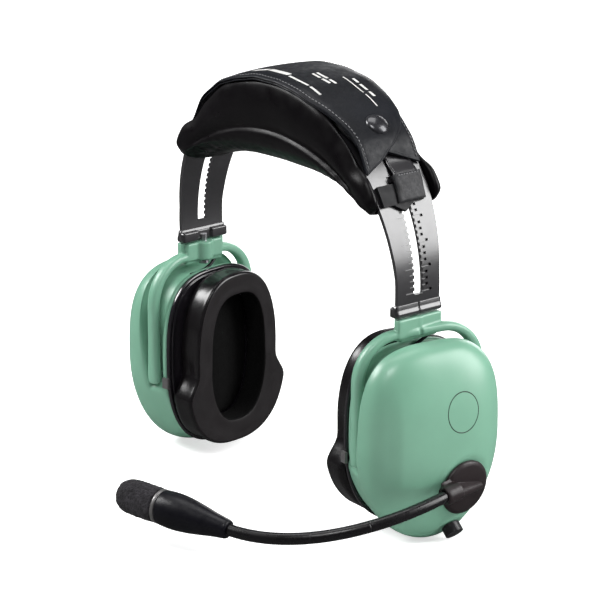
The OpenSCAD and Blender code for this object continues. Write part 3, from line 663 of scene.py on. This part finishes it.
def yoke_piece(side, name):
    """Collar, boss and two curved arms, built as overlapping forms and remeshed into one moulding."""
    parts = []
    outward = unit((cup(side, (1, 0, 0)) - cup(side, (0, 0, 0)))[0])
    for s in (1, -1):
        pts = [(0.0, s * 1.0, ARM_CROWN), (0.0, s * 8.0, ARM_CROWN)]
        for b in np.radians(90 - np.linspace(0, 90, 24)):
            pts.append((0.2, s * (ARM_V - ARM_BEND + ARM_BEND * math.cos(b)), 40.2 + 23.0 * math.sin(b)))
        pts += [(0.2, s * ARM_V, z) for z in [*np.linspace(37, -3.4, 16), -4.4]]
        pts = np.array(pts)
        wide, thick = np.interp(pts[:, 2], ARM_Z, ARM_WIDE), np.interp(pts[:, 2], ARM_Z, ARM_THICK)
        parts.append(band_tube(cup(side, pts), outward, wide, thick))
    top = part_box(f"{name}_yoke")[1][2] / MM
    cx = abs(JOINT[f"{name}_yoke_swivel"]["pos_m"][0]) / MM
    # an outer plate, a narrower inner half, a skirt between them and the upright boss of the swivel post
    for lo, hi in (((cx + 0.9, -14.6, top - 10.7), (cx + 5.1, 14.6, top - 0.2)),
                   ((cx - 1.9, -12.2, top - 10.4), (cx + 3.0, 12.2, top - 0.5)),
                   ((cx - 0.6, -12.6, top - 12.6), (cx + 4.0, 12.6, top - 8))):
        parts.append(block(lambda p: p * [side * MM, MM, MM], lo, hi))
    boss = [(0.05, 0), (4.9, 0), (5.4, 0.5), (5.4, 10.1), (5.0, 10.6), (0.05, 10.6)]
    parts.append(lathe(boss, np.array([side * cx, 0, top - 10.9]) * MM, (0, 0, 1), 40))
    o = build(f"{name}_stirrup", *join(parts), GREEN)
    modify(o, ("REMESH", {"mode": "VOXEL", "voxel_size": 0.00058, "use_smooth_shade": True}),
           ("SMOOTH", {"factor": 0.5, "iterations": 6}))
    settle(o, f"{name}_yoke_body", (f"{name}_yoke",))


for side, name in SIDE.items():
    yoke_piece(side, name)


# -------------------- head pad

CHANNEL = 19.3     # half width of the groove that takes the spring and the cover's foam
CHANNEL_R = 88.1   # radius of its floor
PAD_OUT = 96.9     # radius of the rims
PAD_HALF = 62.6    # half length of the pad, in degrees


def pad_inner(e):
    """Radius of the pad's inner face about the arch centre: a rounded box 98 by 58."""
    a = np.radians(np.asarray(e, float))
    k = (np.abs(np.cos(a)) / 98.0) ** 2.35 + (np.abs(np.sin(a)) / 58.0) ** 2.35
    return np.minimum(k ** (-1 / 2.35), 85.2)


def seam_radius(e):
    """Radius of the sewn line between the lower bolster and the side wall."""
    inner = pad_inner(e)
    return inner + np.maximum(0.40 * (CHANNEL_R - inner), 3.2)


def pad_section(e):
    """Half outline (y, r) of the pad at elevation e, from the middle of the inner face round to the channel.

    The inner face is crowned. Under the narrow ends of the cover the side wall leans in to meet the
    leather's edge, and beyond them it swells out past the blade."""
    off = abs(e - 90)
    inner, seam = pad_inner(e) + 0.6, seam_radius(e)
    crown = 7.2 * (1 - 0.25 * smooth(off, 52, 62))
    tip = min(max((off - 56.0) / 6.6, 0.0), 1.0)
    rim = 88.6 + (PAD_OUT - 88.6) * max(1 - tip ** 3.2, 0.0) ** 0.5
    lean = smooth(off, 24, 38) * (1 - smooth(off, 46, 54))
    rim -= 1.5 * lean + 1.4 * smooth(off, 38, 45) * (1 - smooth(off, 47, 53))
    crease = 1.9 * float(1 - smooth(off, 48, 58))
    w = 24.9 - 3.2 * smooth(off, 59.0, PAD_HALF)
    wall = rim - seam
    low = seam - inner
    pts = [(0, inner - crown), (6, inner - crown * 0.96), (12, inner - crown * 0.80),
           (17, inner - crown * 0.50), (w - 3.6, inner - 0.2), (w - 1.0, inner + 0.26 * low),
           (w + 0.1, inner + 0.55 * low), (w - 0.1, inner + 0.80 * low), (w - 0.35 - crease, seam),
           (w - 0.1, seam + 0.18 * wall), (w + 0.6 - 0.2 * lean, seam + 0.42 * wall),
           (w + 0.2 - 1.2 * lean, seam + 0.70 * wall), (w - 0.9 - 2.4 * lean, rim - 1.9),
           (w - 2.2 - 2.0 * lean, rim - 0.4), (w - 3.4 - 1.3 * lean, rim - 0.1),
           (CHANNEL + 0.5, rim - 0.9), (CHANNEL, rim - 2.4 * (wall / 20)), (CHANNEL, CHANNEL_R + 0.35),
           (CHANNEL - 0.5, CHANNEL_R), (9, CHANNEL_R), (0, CHANNEL_R)]
    return rounded(pts, 1.8, 3)


def pad_piece():
    """Lofted pad, settled by a short cloth simulation on its own quads."""
    rings = []
    ease = math.pi / 2 * 0.80
    for e in 90 + PAD_HALF * np.sin(np.linspace(-ease, ease, 74)) / math.sin(ease):
        half = resample(pad_section(e), 42)
        blunt = smooth(abs(e - 90), 60.4, PAD_HALF)
        half[:, 1] = 86.6 + (half[:, 1] - 86.6) * (1 - 0.30 * blunt * (half[:, 1] < 86.6))
        full = np.concatenate([half, (half * [-1, 1])[::-1][1:-1]])
        rings.append(arch(e, full[:, 1], full[:, 0]))
    o = build("head_pad_skin", *loft(rings), VINYL)
    inflate(o, pad_pin(coords(o)), cap=0.0050, pressure=4.0, frames=20)
    modify(o, ("SUBSURF", {"levels": 1, "render_levels": 1}))
    dress_pad(o)
    settle(o, "headband", ("head_pad",))


def polar(p):
    """Elevation, radius and y of points on the arch: the reverse of arch()."""
    d = (p - ARCH) / MM
    return np.degrees(np.arctan2(d[:, 2], d[:, 0])), np.hypot(d[:, 0], d[:, 2]), d[:, 1]


def pad_pin(p):
    """Held: the channel, the rims' tops and inner walls, the sewn line, and the blunt ends."""
    e, r, y = polar(p)
    off = np.abs(e - 90)
    hidden = (r > 87.2) & (np.abs(y) < CHANNEL + 2.2)
    sewn = (np.abs(r - seam_radius(e)) < 0.9) & (np.abs(y) > 20) & (off < 55)
    return hidden | sewn | (off > PAD_HALF - 0.4)


def inflate(o, pinned, cap, pressure, frames):
    """Cloth with pressure and no gravity; the movement is capped, applied and left as plain mesh."""
    start = coords(o)
    group = o.vertex_groups.new(name="pin")
    group.add([int(i) for i in np.nonzero(pinned)[0]], 1.0, "REPLACE")
    m = o.modifiers.new("cloth", "CLOTH")
    for key, value in (("quality", 5), ("mass", 0.3), ("tension_stiffness", 18),
                       ("compression_stiffness", 12), ("bending_stiffness", 1.5), ("use_pressure", True),
                       ("uniform_pressure_force", pressure), ("vertex_group_mass", "pin")):
        setattr(m.settings, key, value)
    m.settings.effector_weights.gravity = 0
    m.collision_settings.use_collision = False
    m.point_cache.frame_start = 1
    m.point_cache.frame_end = frames
    for k in range(1, frames + 1):
        scene.frame_set(k)
    dg = bpy.context.evaluated_depsgraph_get()
    co = np.zeros(len(start) * 3, np.float32)
    bpy.data.meshes.new_from_object(o.evaluated_get(dg)).vertices.foreach_get("co", co)
    moved = co.reshape(-1, 3) - start
    dist = np.linalg.norm(moved, axis=1)
    scale = np.where(dist > cap, cap / np.maximum(dist, 1e-9), 1.0)
    o.modifiers.clear()
    set_coords(o, start + moved * scale[:, None])
    scene.frame_set(1)


def dress_pad(o):
    """Presses the sewn line in, draws shallow puckers across the inner face and keeps the channel clear."""
    p = coords(o)
    e, r, y = polar(p)
    off = np.abs(e - 90)
    seam = seam_radius(e)
    fade = 1 - smooth(off, 47, 58)
    side = smooth(np.abs(y), 17, 22)
    dy = -0.8 * side * fade * np.exp(-((r - seam) / 1.1) ** 2)
    dy = dy + 0.22 * side * wobble(p, 0.028, 4) * (r < 96)
    inner = 1 - smooth(r, pad_inner(e) + 2, pad_inner(e) + 12)
    puckers = np.sin(e * 1.1 + 0.5 * np.sin(y * 0.2)) * smooth(off, 20, 45)
    dr = inner * (0.20 * wobble(p, 0.034, 5) + 0.16 * puckers)
    y2 = np.sign(y) * np.clip(np.abs(y) + dy, 0, 27.6)
    r2 = np.minimum(r + dr, 97.3)
    deep = (np.abs(y2) < CHANNEL) & (r2 > 84)
    r2 = np.where(deep, np.minimum(r2, CHANNEL_R), r2)
    set_coords(o, arch(e, r2, y2))


pad_piece()

# foam under the cover: a soft lens that fills it
rings = []
for e in np.linspace(52.4, 127.6, 44):
    t = smooth(abs(e - 90), 32, 37.5)
    w, top = 18.3 - 2.0 * t, 97.35 - 1.9 * t
    prof = [(0, 92.9), (w - 1, 92.9), (w, 93.6), (w, top - 1.2), (w - 2.5, top), (0, top)]
    prof = resample(rounded(prof, 1.0, 3), 24)
    full = np.concatenate([prof, (prof * [-1, 1])[::-1]])
    rings.append(arch(e, full[:, 1], full[:, 0]))
build("cover_foam", *loft(rings), FOAM, "headband", "foam", ("upper_foam",))


# -------------------- cover

def cover_width(e):
    return 25.1 - 6.0 * smooth(np.abs(np.asarray(e, float) - 90), 14, 40)


def cover_radius(e, y):
    """Top surface of the cover: draped over the pad's rims, and bent down onto the blades near its ends."""
    e, y = np.asarray(e, float), np.asarray(y, float)
    off = np.abs(e - 90)
    middle = 1 - smooth(off, 34, 42)
    base = 100.1 - 4.3 * smooth(off, 39.5, 50) - 0.5 * (y / 20) ** 2
    drape = 1.3 * smooth(np.abs(y), 19, 26) * middle
    return base - drape + 0.12 * np.sin(e * 0.6) + 0.10 * np.sin(e * 0.31 + y * 0.16)


def cover_sheet(name, outline, e_range, thick, lift, rows, replaces=()):
    """Leather sheet over the arch. outline(e) gives its y limits; its edges are rounded and turned down."""
    top, bot = [], []
    t = np.linspace(-1, 1, 30)
    t = np.sign(t) * (1 - (1 - np.abs(t)) ** 1.35)
    for e in np.linspace(*e_range, rows):
        y0, y1 = outline(e)
        y = 0.5 * (y0 + y1) + 0.5 * (y1 - y0) * t
        d_edge = np.minimum(y - y0, y1 - y)
        d_end = min(e - e_range[0], e_range[1] - e) * math.radians(1) * 100
        d = np.minimum(d_edge, d_end)
        roll = 0.6 * (1 - np.sqrt(np.clip(1 - (1 - np.clip(d / 1.2, 0, 1)) ** 2, 0, 1)))
        seam = 0.25 * np.exp(-((d_edge - 2.2) / 0.5) ** 2)
        r = cover_radius(e, y) + lift
        top.append(arch(e, r - roll - seam, y))
        bot.append(arch(e, r - thick + 0.25 * roll, y))
    build(name, *sheet(np.array(top), np.array(bot)), LEATHER, *COVER, replaces)


def sheet(top, bot):
    """Two grids of equal size, joined round their edges into one closed skin."""
    n, c = top.shape[:2]
    v = np.concatenate([top.reshape(-1, 3), bot.reshape(-1, 3)])
    f = grid_faces(n, c, wrap_cols=False)
    f += [tuple(reversed(q)) for q in grid_faces(n, c, wrap_cols=False, base=n * c)]
    b = n * c
    for i in range(n - 1):
        f.append((i * c, (i + 1) * c, b + (i + 1) * c, b + i * c))
        f.append((i * c + c - 1, b + i * c + c - 1, b + (i + 1) * c + c - 1, (i + 1) * c + c - 1))
    for j in range(c - 1):
        f.append((j, b + j, b + j + 1, j + 1))
        k = (n - 1) * c + j
        f.append((k, k + 1, b + k + 1, b + k))
    return v, f


def lower_cover(e):
    """Under layer: its end edge slants from the rear corner up to the notch."""
    w = float(cover_width(e)) - 0.3
    return float(np.interp(min(e, 180 - e), [40.6, 45.2, 49.0], [18.2, -1.2, -w])), w


def flap(e):
    """Upper layer: a tongue that runs down to the front corner and is cut back in a curve at the rear."""
    low = min(e, 180 - e)
    w = float(cover_width(e))
    rear = np.interp(low, [39.4, 40.6, 43.0, 45.2, 47.9, 51.0, 54.5, 58.5, 63.0, 66.0],
                     [-18.3, -14.5, -6.0, -0.8, 6.5, 12.3, 17.0, 20.2, 22.2, 23.0])
    return -w, float(min(rear, w)) if low < 66 else w


cover_sheet("cover_under", lower_cover, (40.6, 139.4), 1.2, -1.1, rows=190, replaces=("pad_cover",))
cover_sheet("cover_flap", flap, (39.4, 140.6), 1.1, 0.15, rows=260)


def outward_at(e, y):
    """Vectors pointing straight out of the arch."""
    return arch(e, 101.0, y) - arch(e, 100.0, y)


# stitched edges: all along the front edge, along the rear of the middle, and down the rear of each end
for k, (e0, e1, inset, sgn, lift) in enumerate(((40.6, 139.4, 2.1, -1, 0.12), (66.5, 113.5, 2.1, 1, 0.12),
                                                (41.6, 60.5, 2.3, 1, -1.10), (119.5, 138.4, 2.3, 1, -1.10))):
    es = np.linspace(e0, e1, 160)
    ys = sgn * (cover_width(es) - inset)
    pts, nrm = arch(es, cover_radius(es, ys) + lift, ys), outward_at(es, ys)
    stitches(f"cover_stitch_{k}", pts, nrm, length=1.6, pitch=2.4, radius=0.2)

# plain printed bars, with no lettering, where the cover carries white print: start, y, half height, lengths
parts = []
for at, y0, half, words in ((104.0, -14.6, 1.7, (7.0, 9.0)), (86.0, -16.2, 0.75, (9.0, 5.0)),
                            (84.0, -3.4, 0.8, (3.6, 3.6)), (84.0, -0.4, 0.8, (5.0, 3.0)),
                            (76.0, 12.6, 0.8, (2.6, 3.4, 2.6)), (78.0, 8.6, 0.35, (10.0, 6.0))):
    ys = np.linspace(-half, half, 3) + y0
    for word in words:
        es = np.linspace(at, at - word, 7)
        parts.append(sheet(*(np.array([arch(e, cover_radius(e, ys) + lift, ys) for e in es])
                             for lift in (0.19, 0.05))))
        at -= word + 1.0
build("plain_print_bars", *join(parts), PRINT, *COVER)

# press snaps
SNAP_PROFILE = [(0.05, -0.6), (6.1, -0.6), (6.5, 0.0), (6.4, 0.5), (5.7, 1.25), (4.7, 1.85), (3.5, 2.25),
                (2.3, 2.5), (1.1, 2.62), (0.05, 2.65)]
for k, e in enumerate((54.2, 125.8)):
    at = arch(e, 100.05, 0.0)
    build(f"snap_{k}", *lathe(SNAP_PROFILE, at, arch(e, 101.0, 0.0) - at, 56), SNAP, "headband", "dark_snap",
          () if k else ("cover_snaps",))


# -------------------- blades, feet, blocks, tabs

def foot_piece(side, name):
    """Hemmed foot: the blade's end folded back on itself, rolled outside and split inside for the post."""
    lo, hi = np.array(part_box(f"{name}_blade_foot"))
    mid = (lo + hi) / 2
    t, w, h = (hi - lo) / MM
    a, b = t / 2, h / 2
    full = rounded([(0.2, b + 0.5), (a - 1.15, b + 0.4), (a - 0.9, 0.3 * b), (a - 0.1, -0.25 * b),
                    (a - 0.1, -0.7 * b), (a - 0.9, -b), (-a + 0.5, -b), (-a, -b + 0.5), (-a, b - 1.3),
                    (-a + 0.35, b - 0.95), (-0.9, b - 0.75), (-0.6, b + 0.5), (0.2, b + 0.5)], 0.35, 3)[:-1]
    half = [*np.linspace(0.6, 3.8, 7), *np.linspace(4.3, 5.1, 5), *np.linspace(5.4, w / 2 - 0.7, 16)]
    rings = []
    for y in [-v for v in half[::-1]] + [-0.35, -0.15, 0, 0.15, 0.35] + half:
        ends = smooth(abs(y), w / 2 - 1.8, w / 2 - 0.7)
        split = 1 - smooth(abs(y), 4.3, 5.1)
        px, pz = full[:, 0] * (1 - 0.10 * ends), full[:, 1] * (1 - 0.07 * ends)
        px = np.where(full[:, 0] > 0.5, px - 0.35 * math.exp(-(y / 0.28) ** 2), px)
        px = np.where(px < -1.0, px + split * np.minimum(1.7, -1.0 - px), px)
        rings.append(mid + MM * np.stack([side * px, y * (1 + 0.01 * smooth(-pz, -b, b)), pz], 1))
    build(f"{name}_rolled_foot", *loft(rings), BLADE, f"{name}_slide", "gloss_black",
          (f"{name}_blade_foot",))


for side, name in SIDE.items():
    foot_piece(side, name)

for k, turn in enumerate((lambda e: e, lambda e: 180 - e)):
    # thick stitched tab over the slider plate; it leans a little to the front as it runs down
    top, bot = [], []
    t = np.linspace(-1, 1, 22)
    for s in np.linspace(0, 1, 28):
        e = 28.7 + 9.0 * s
        y = 2.7 + 2.3 * s + 9.0 * t
        d = np.minimum(9.0 * (1 - np.abs(t)), min(s, 1 - s) * 15)
        roll = 0.9 * (1 - np.clip(d / 1.3, 0, 1)) ** 2
        up = 96.5 + 0.8 * s - 0.3 * t ** 2 + 0.10 * np.sin(y * 1.1 + 9 * s)
        top.append(arch(turn(e), up - roll, y))
        bot.append(arch(turn(e), 94.6 - 0.9 * smooth(e, 35.6, 36.4), y))
    build(f"keeper_tab_{k}", *sheet(np.array(top), np.array(bot)), TAB, *COVER,
          () if k else ("keeper_straps",))
    es, ys = np.full(40, turn(36.9)), np.linspace(-3.2, 13.2, 40)
    stitches(f"tab_stitch_{k}", arch(es, 97.25, ys), outward_at(es, 0.0), length=1.2, pitch=1.8, radius=0.24)
    # smooth strap that runs on up under the cover, stitched down its front edge
    top, bot = [], []
    t = np.linspace(-1, 1, 16)
    for e in np.linspace(37.3, 49.0, 22):
        y = 5.6 + 8.0 * t
        lift = 1.3 * (1 - smooth(e, 37.3, 42.5))
        roll = 0.4 * np.clip((np.abs(t) - 0.85) / 0.15, 0, 1) ** 2
        top.append(arch(turn(e), 93.55 + lift - roll, y))
        bot.append(arch(turn(e), 92.65 + lift, y))
    build(f"keeper_strap_{k}", *sheet(np.array(top), np.array(bot)), BLADE, *COVER)
    es = np.linspace(38.2, 45.4, 30)
    stitches(f"strap_stitch_{k}", arch(turn(es), 93.6 + 1.3 * (1 - smooth(es, 37.3, 42.5)), -1.3),
             outward_at(turn(es), -1.3), length=1.0, pitch=1.5, radius=0.2)


# -------------------- boom

SWIVEL = np.array(JOINT["boom_swivel"]["pos_m"], float) / MM
BOOM_C = SWIVEL + [[6.956, -15.314, 1.3], [14.656, -65.414, -3.1], [-13.544, -100.914, -15.7],
                   [-53.544, -112.214, -12.5]]
NECK_R = 3.15
# each stretch of the gooseneck: where it starts, ends and bends along the curve, its bodies and CAD nodes
STRETCHES = ((0.0, 0.375, 0.25, "boom_base", "boom_a", ("gooseneck_1", "gooseneck_2")),
             (0.375, 0.625, 0.5, "boom_a", "boom_b", ("gooseneck_3",)),
             (0.625, 1.0, 0.75, "boom_b", "boom_c", ("gooseneck_4",)))
for k, (t0, t1, bend, a, b, nodes) in enumerate(STRETCHES):
    path = bezier(BOOM_C, np.linspace(t0, t1, 46)) * MM
    o = build(f"gooseneck_{k}_skin", *tube(path, NECK_R, 32), NECK, None, "satin_black", nodes)
    near, far = (tuple(p) for p in bezier(BOOM_C, np.array([bend - 0.1, bend + 0.1])) * MM)
    if k == 1:
        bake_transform(o)
    else:
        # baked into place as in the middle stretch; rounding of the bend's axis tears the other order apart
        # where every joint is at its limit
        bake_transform(o)

RING = (SWIVEL + [-94.544, -123.814, -9.2]) * MM
BOOT = BOOM_C[3] * MM
MIC = unit(RING - BOOT)
end = np.linalg.norm(RING - BOOT) / MM - 0.1
prof = [(0.05, 0), (3.6, 0.0), (4.6, 0.35), (5.1, 1.3), (5.35, 3.0), (6.2, 9.0), (7.5, 16.0), (8.7, 23.0),
        (9.45, 29.0), (9.7, 33.0), (9.6, 38.0), (9.25, end - 1.0), (8.9, end - 0.3), (0.05, end - 0.3)]
build("mic_boot_skin", *lathe(rounded(prof, 1.6, 4), BOOT, MIC), RUBBER, "boom_c", "black_rubber",
      ("mic_boot",))
prof = [(0.05, -0.25), (8.95, -0.25), (9.25, 0.2), (9.25, 1.5), (8.9, 1.9), (0.05, 1.9)]
build("mic_ring_band", *lathe(rounded(prof, 0.3, 3), RING, MIC), CLIP, "boom_c", "dark_snap",
      ("mic_ring",))

# windscreen: shallow pores pushed along the skin's own normals
prof = [(0.05, 1.95), (7.4, 1.95), (8.8, 2.2), (9.3, 3.2), (9.35, 6), (9.35, 13), (9.3, 17.5), (9.05, 20.4),
        (8.3, 23.2), (6.8, 25.5), (4.6, 26.8), (2.2, 27.3), (0.05, 27.4)]
o = build("windscreen_foam_skin", *lathe(resample(rounded(prof, 1.5, 4), 74), RING, MIC, 120), WIND)
p = coords(o)
along = (p - RING) @ MIC
radial = p - RING - along[:, None] * MIC
far = np.linalg.norm(radial, axis=1)[:, None]
tip = smooth(along / MM, 19, 27)[:, None]
nrm = np.where(far > 1e-6, radial / np.maximum(far, 1e-9), 0) * (1 - tip) + MIC * tip
pore = (wobble(p, 0.0022, 8) * 0.10 + wobble(p, 0.0045, 9) * 0.10) * smooth(along / MM, 2.4, 4.0)
set_coords(o, p + nrm * pore[:, None] * MM)
settle(o, "boom_c", ("windscreen",))

# disc and wedge hub on the left cup, in the frame of the boom joint
DISC_ROWS = local_axis(DISC_TILT)


def disc_pts(p):
    """Points in the disc's own frame, millimetres, to the row frame."""
    return cup(1, np.asarray(p, float) @ DISC_ROWS + DISC_AT)


a = circle(96)
prof = rounded([(0.05, 0.15), (14.4, 0.15), (15.0, 0.5), (15.0, 1.5), (14.5, 2.3), (12.9, 3.0), (9.0, 3.25),
                (0.05, 3.3)], 0.5, 3)
rings = [disc_pts(np.column_stack([r * np.cos(a), r * np.sin(a), np.full(96, h)])) for r, h in prof]
build("boom_disc_face", *loft(rings), DISC, "boom_base", "satin_black", ("boom_disc",))

start = BOOM_C[0] * MM
dirn = unit(bezier(BOOM_C, np.array([0.25]))[0] * MM - start)
sleeve = [(0.05, -6.5), (4, -6.5), (4.9, -5.6), (5, 3), (4.7, 4), (3.5, 4.1), (3.4, 3.2), (0.05, 3.2)]
tail, face, above, origin = disc_pts([(0, 9.5, 3.1), (0, 0, 3.0), (0, 0, 1), (0, 0, 0)])
up_n = unit(above - origin)
half = unit(np.cross(dirn, up_n)) * MM
a = np.linspace(0, math.pi, 17)[:, None]
rings = []
for s in np.linspace(0, 1, 12):
    mid = (start + dirn * 2.5 * MM) * (1 - s) + tail * s
    rad = 4.9 * (1 - s) + 2.2 * s
    skirt = half * rad * (1 + 0.55 * math.sin(math.pi * min(s * 1.3, 1))) * 1.12
    height = (mid - face) @ up_n
    drop = mid - up_n * height
    foot = drop - up_n * 0.9 * MM
    rise = height * (0.2 + 0.8 * np.sin(a) ** 0.5) + rad * MM * np.sin(a) ** 0.8
    crest = drop + half * rad * np.cos(a) + up_n * rise
    rings.append(np.concatenate([[foot + skirt], crest, [foot - skirt]]))
o = build("boom_hub_wedge", *join([lathe(sleeve, start, dirn, 40), loft(rings)]), DISC)
modify(o, ("REMESH", {"mode": "VOXEL", "voxel_size": 0.00045, "use_smooth_shade": True}),
       ("SMOOTH", {"factor": 0.5, "iterations": 4}))
settle(o, "boom_base", ("boom_hub",))


# -------------------- crossover wires

WIRE = np.array([(-2.6, 9.5, 60.2), (-4.6, 4.0, 54.6), (-3.2, -3.0, 53.2), (-1.0, -9.0, 52.6)])
for side, name in SIDE.items():
    path = cup(side, bezier(WIRE, np.linspace(0, 1, 30)))
    o = build(f"{name}_wire_skin", *tube(path, 0.95, 14), RUBBER, None, "black_rubber",
              (f"{name}_crossover_wire",))
    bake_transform(o)


# -------------------- plain mark on the near dome

def dome_surface_u(v, z):
    """Height of the outer skin above a point of the outer face, from the same profile as the dome."""
    rim = np.hypot(*dome_outline(np.arctan2(z - DOME_ZC, v)).T)
    k = np.clip(np.hypot(v, z - DOME_ZC) / rim, 0, 1)
    u = BULGE_U + (DOME_OUT - BULGE_U) * (1 - k ** PEAK) ** (1 / PEAK)
    return u + panel_lift(u, v, z)


a = circle(96)
rings = []
for r, h in ((9.4, 0.03), (9.9, 0.03), (9.9, -0.25), (9.4, -0.25)):
    v, z = 10.0 + r * np.cos(a), 25.0 + r * 1.12 * np.sin(a)
    rings.append(cup(1, np.column_stack([dome_surface_u(v, z) + h, v, z])))
build("plain_ring_mark", *loft(rings, wrap=True), INK, "left_cup", "green_shell")


# -------------------- carried-over CAD nodes

# material, bevel in millimetres, nodes
KEPT = ((STEEL, 0.2, "headband_spring slider_studs left_pivot_pins right_pivot_pins"),
        (STEEL, 0.3, "left_swivel_post right_swivel_post volume_pot boom_nut mic_capsule"),
        (STEEL, 0.4, "left_earphone right_earphone"), (PLATE, 0.5, "slider_blocks"),
        (BLADE, 0.35, "left_blade right_blade"), (RUBBER, 0.3, "cord_bushing"),
        (CLIP, 0.3, "left_seal_clips right_seal_clips"), (SATIN, 0.3, "volume_knob"))
for mat, width, names in KEPT:
    for name in names.split():
        o = frame["nodes"][name]
        o.data.materials.clear()
        o.data.materials.append(mat)
        b = o.modifiers.new("bevel", "BEVEL")
        b.width, b.segments, b.use_clamp_overlap = width * MM, 3, True
        b.limit_method, b.angle_limit = "ANGLE", math.radians(40)


# -------------------- stage

lo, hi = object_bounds()
bpy.ops.mesh.primitive_plane_add(size=8.0, location=(0, 0, lo[2] - 0.0005))
floor = bpy.context.object
floor.name = "floor"
floor_mat = bpy.data.materials.new("floor_white")
floor_mat.use_nodes = True
nt = floor_mat.node_tree
bs = nt.nodes["Principled BSDF"]
for key, value in (("Roughness", 0.9), ("Specular IOR Level", 0.1), ("Emission Color", (1, 1, 1, 1))):
    bs.inputs[key].default_value = value
# white to the camera, and dark in glossy reflections
ray = node(nt, "LightPath")
glow = node(nt, "Math", {1: 0.62}, operation="MULTIPLY")
tint = node(nt, "Mix", {6: (0.8, 0.8, 0.8, 1), 7: (0.10, 0.10, 0.10, 1)}, data_type="RGBA")
for source, sink in ((ray.outputs["Is Glossy Ray"], tint.inputs[0]),
                     (glow.outputs[0], bs.inputs["Emission Strength"]),
                     (tint.outputs[2], bs.inputs["Base Color"]),
                     (ray.outputs["Is Camera Ray"], glow.inputs[0])):
    nt.links.new(source, sink)
floor.data.materials.append(floor_mat)

world = bpy.data.worlds.new("studio")
scene.world = world
world.use_nodes = True
nt = world.node_tree
nt.nodes.clear()
ray, mix = node(nt, "LightPath"), node(nt, "MixShader")
backdrop = node(nt, "Background", {0: (1, 1, 1, 1), 1: 1.05})
sky = node(nt, "Background", {0: (0.97, 0.98, 1.0, 1), 1: 0.10})
for source, sink in ((ray.outputs["Is Camera Ray"], mix.inputs[0]), (sky.outputs[0], mix.inputs[1]),
                     (backdrop.outputs[0], mix.inputs[2]),
                     (mix.outputs[0], node(nt, "OutputWorld").inputs[0])):
    nt.links.new(source, sink)

target = ARCH + np.array([0.001, 0, -0.030])
az, el = math.radians(50.5), math.radians(17.4)
back = np.array([math.sin(az) * math.cos(el), -math.cos(az) * math.cos(el), math.sin(el)])
right = np.array([math.cos(az), math.sin(az), 0.0])
up = np.cross(back, right)


def area(name, at, size, power):
    """A rectangular lamp aimed at the object."""
    d = bpy.data.lights.new(name, "AREA")
    d.shape = "RECTANGLE"
    d.size, d.size_y = size
    d.energy = power
    o = bpy.data.objects.new(name, d)
    scene.collection.objects.link(o)
    o.location = at
    o.rotation_mode = "QUATERNION"
    o.rotation_quaternion = (Vector(target) - Vector(at)).to_track_quat("-Z", "Y")


area("left_box", target + 1.30 * (0.06 * back - 0.78 * right + 0.64 * up), (0.55, 0.5), 17)
area("right_box", target + 1.30 * (0.22 * back + 0.87 * right + 0.36 * up), (0.6, 1.05), 20)
area("front_fill", target + 1.5 * (0.8 * back - 0.1 * right + 0.55 * up), (0.5, 0.35), 9)
area("top", target + 0.1 * back + 1.35 * up, (1.0, 0.7), 9)
area("rim_back", target - 1.2 * back + 0.5 * right + 0.6 * up, (0.9, 0.6), 7)

cam_data = bpy.data.cameras.new("camera")
cam = bpy.data.objects.new("camera", cam_data)
scene.collection.objects.link(cam)
cam.location = target + back * 1.7
cam.rotation_mode = "QUATERNION"
cam.rotation_quaternion = Vector(-back).to_track_quat("-Z", "Y")
cam_data.sensor_width = 36
cam_data.lens = 186
cam_data.clip_start = 0.05
scene.camera = cam
scene.view_settings.view_transform = "Standard"
scene.view_settings.look = "None"
scene.view_settings.exposure = 0.0
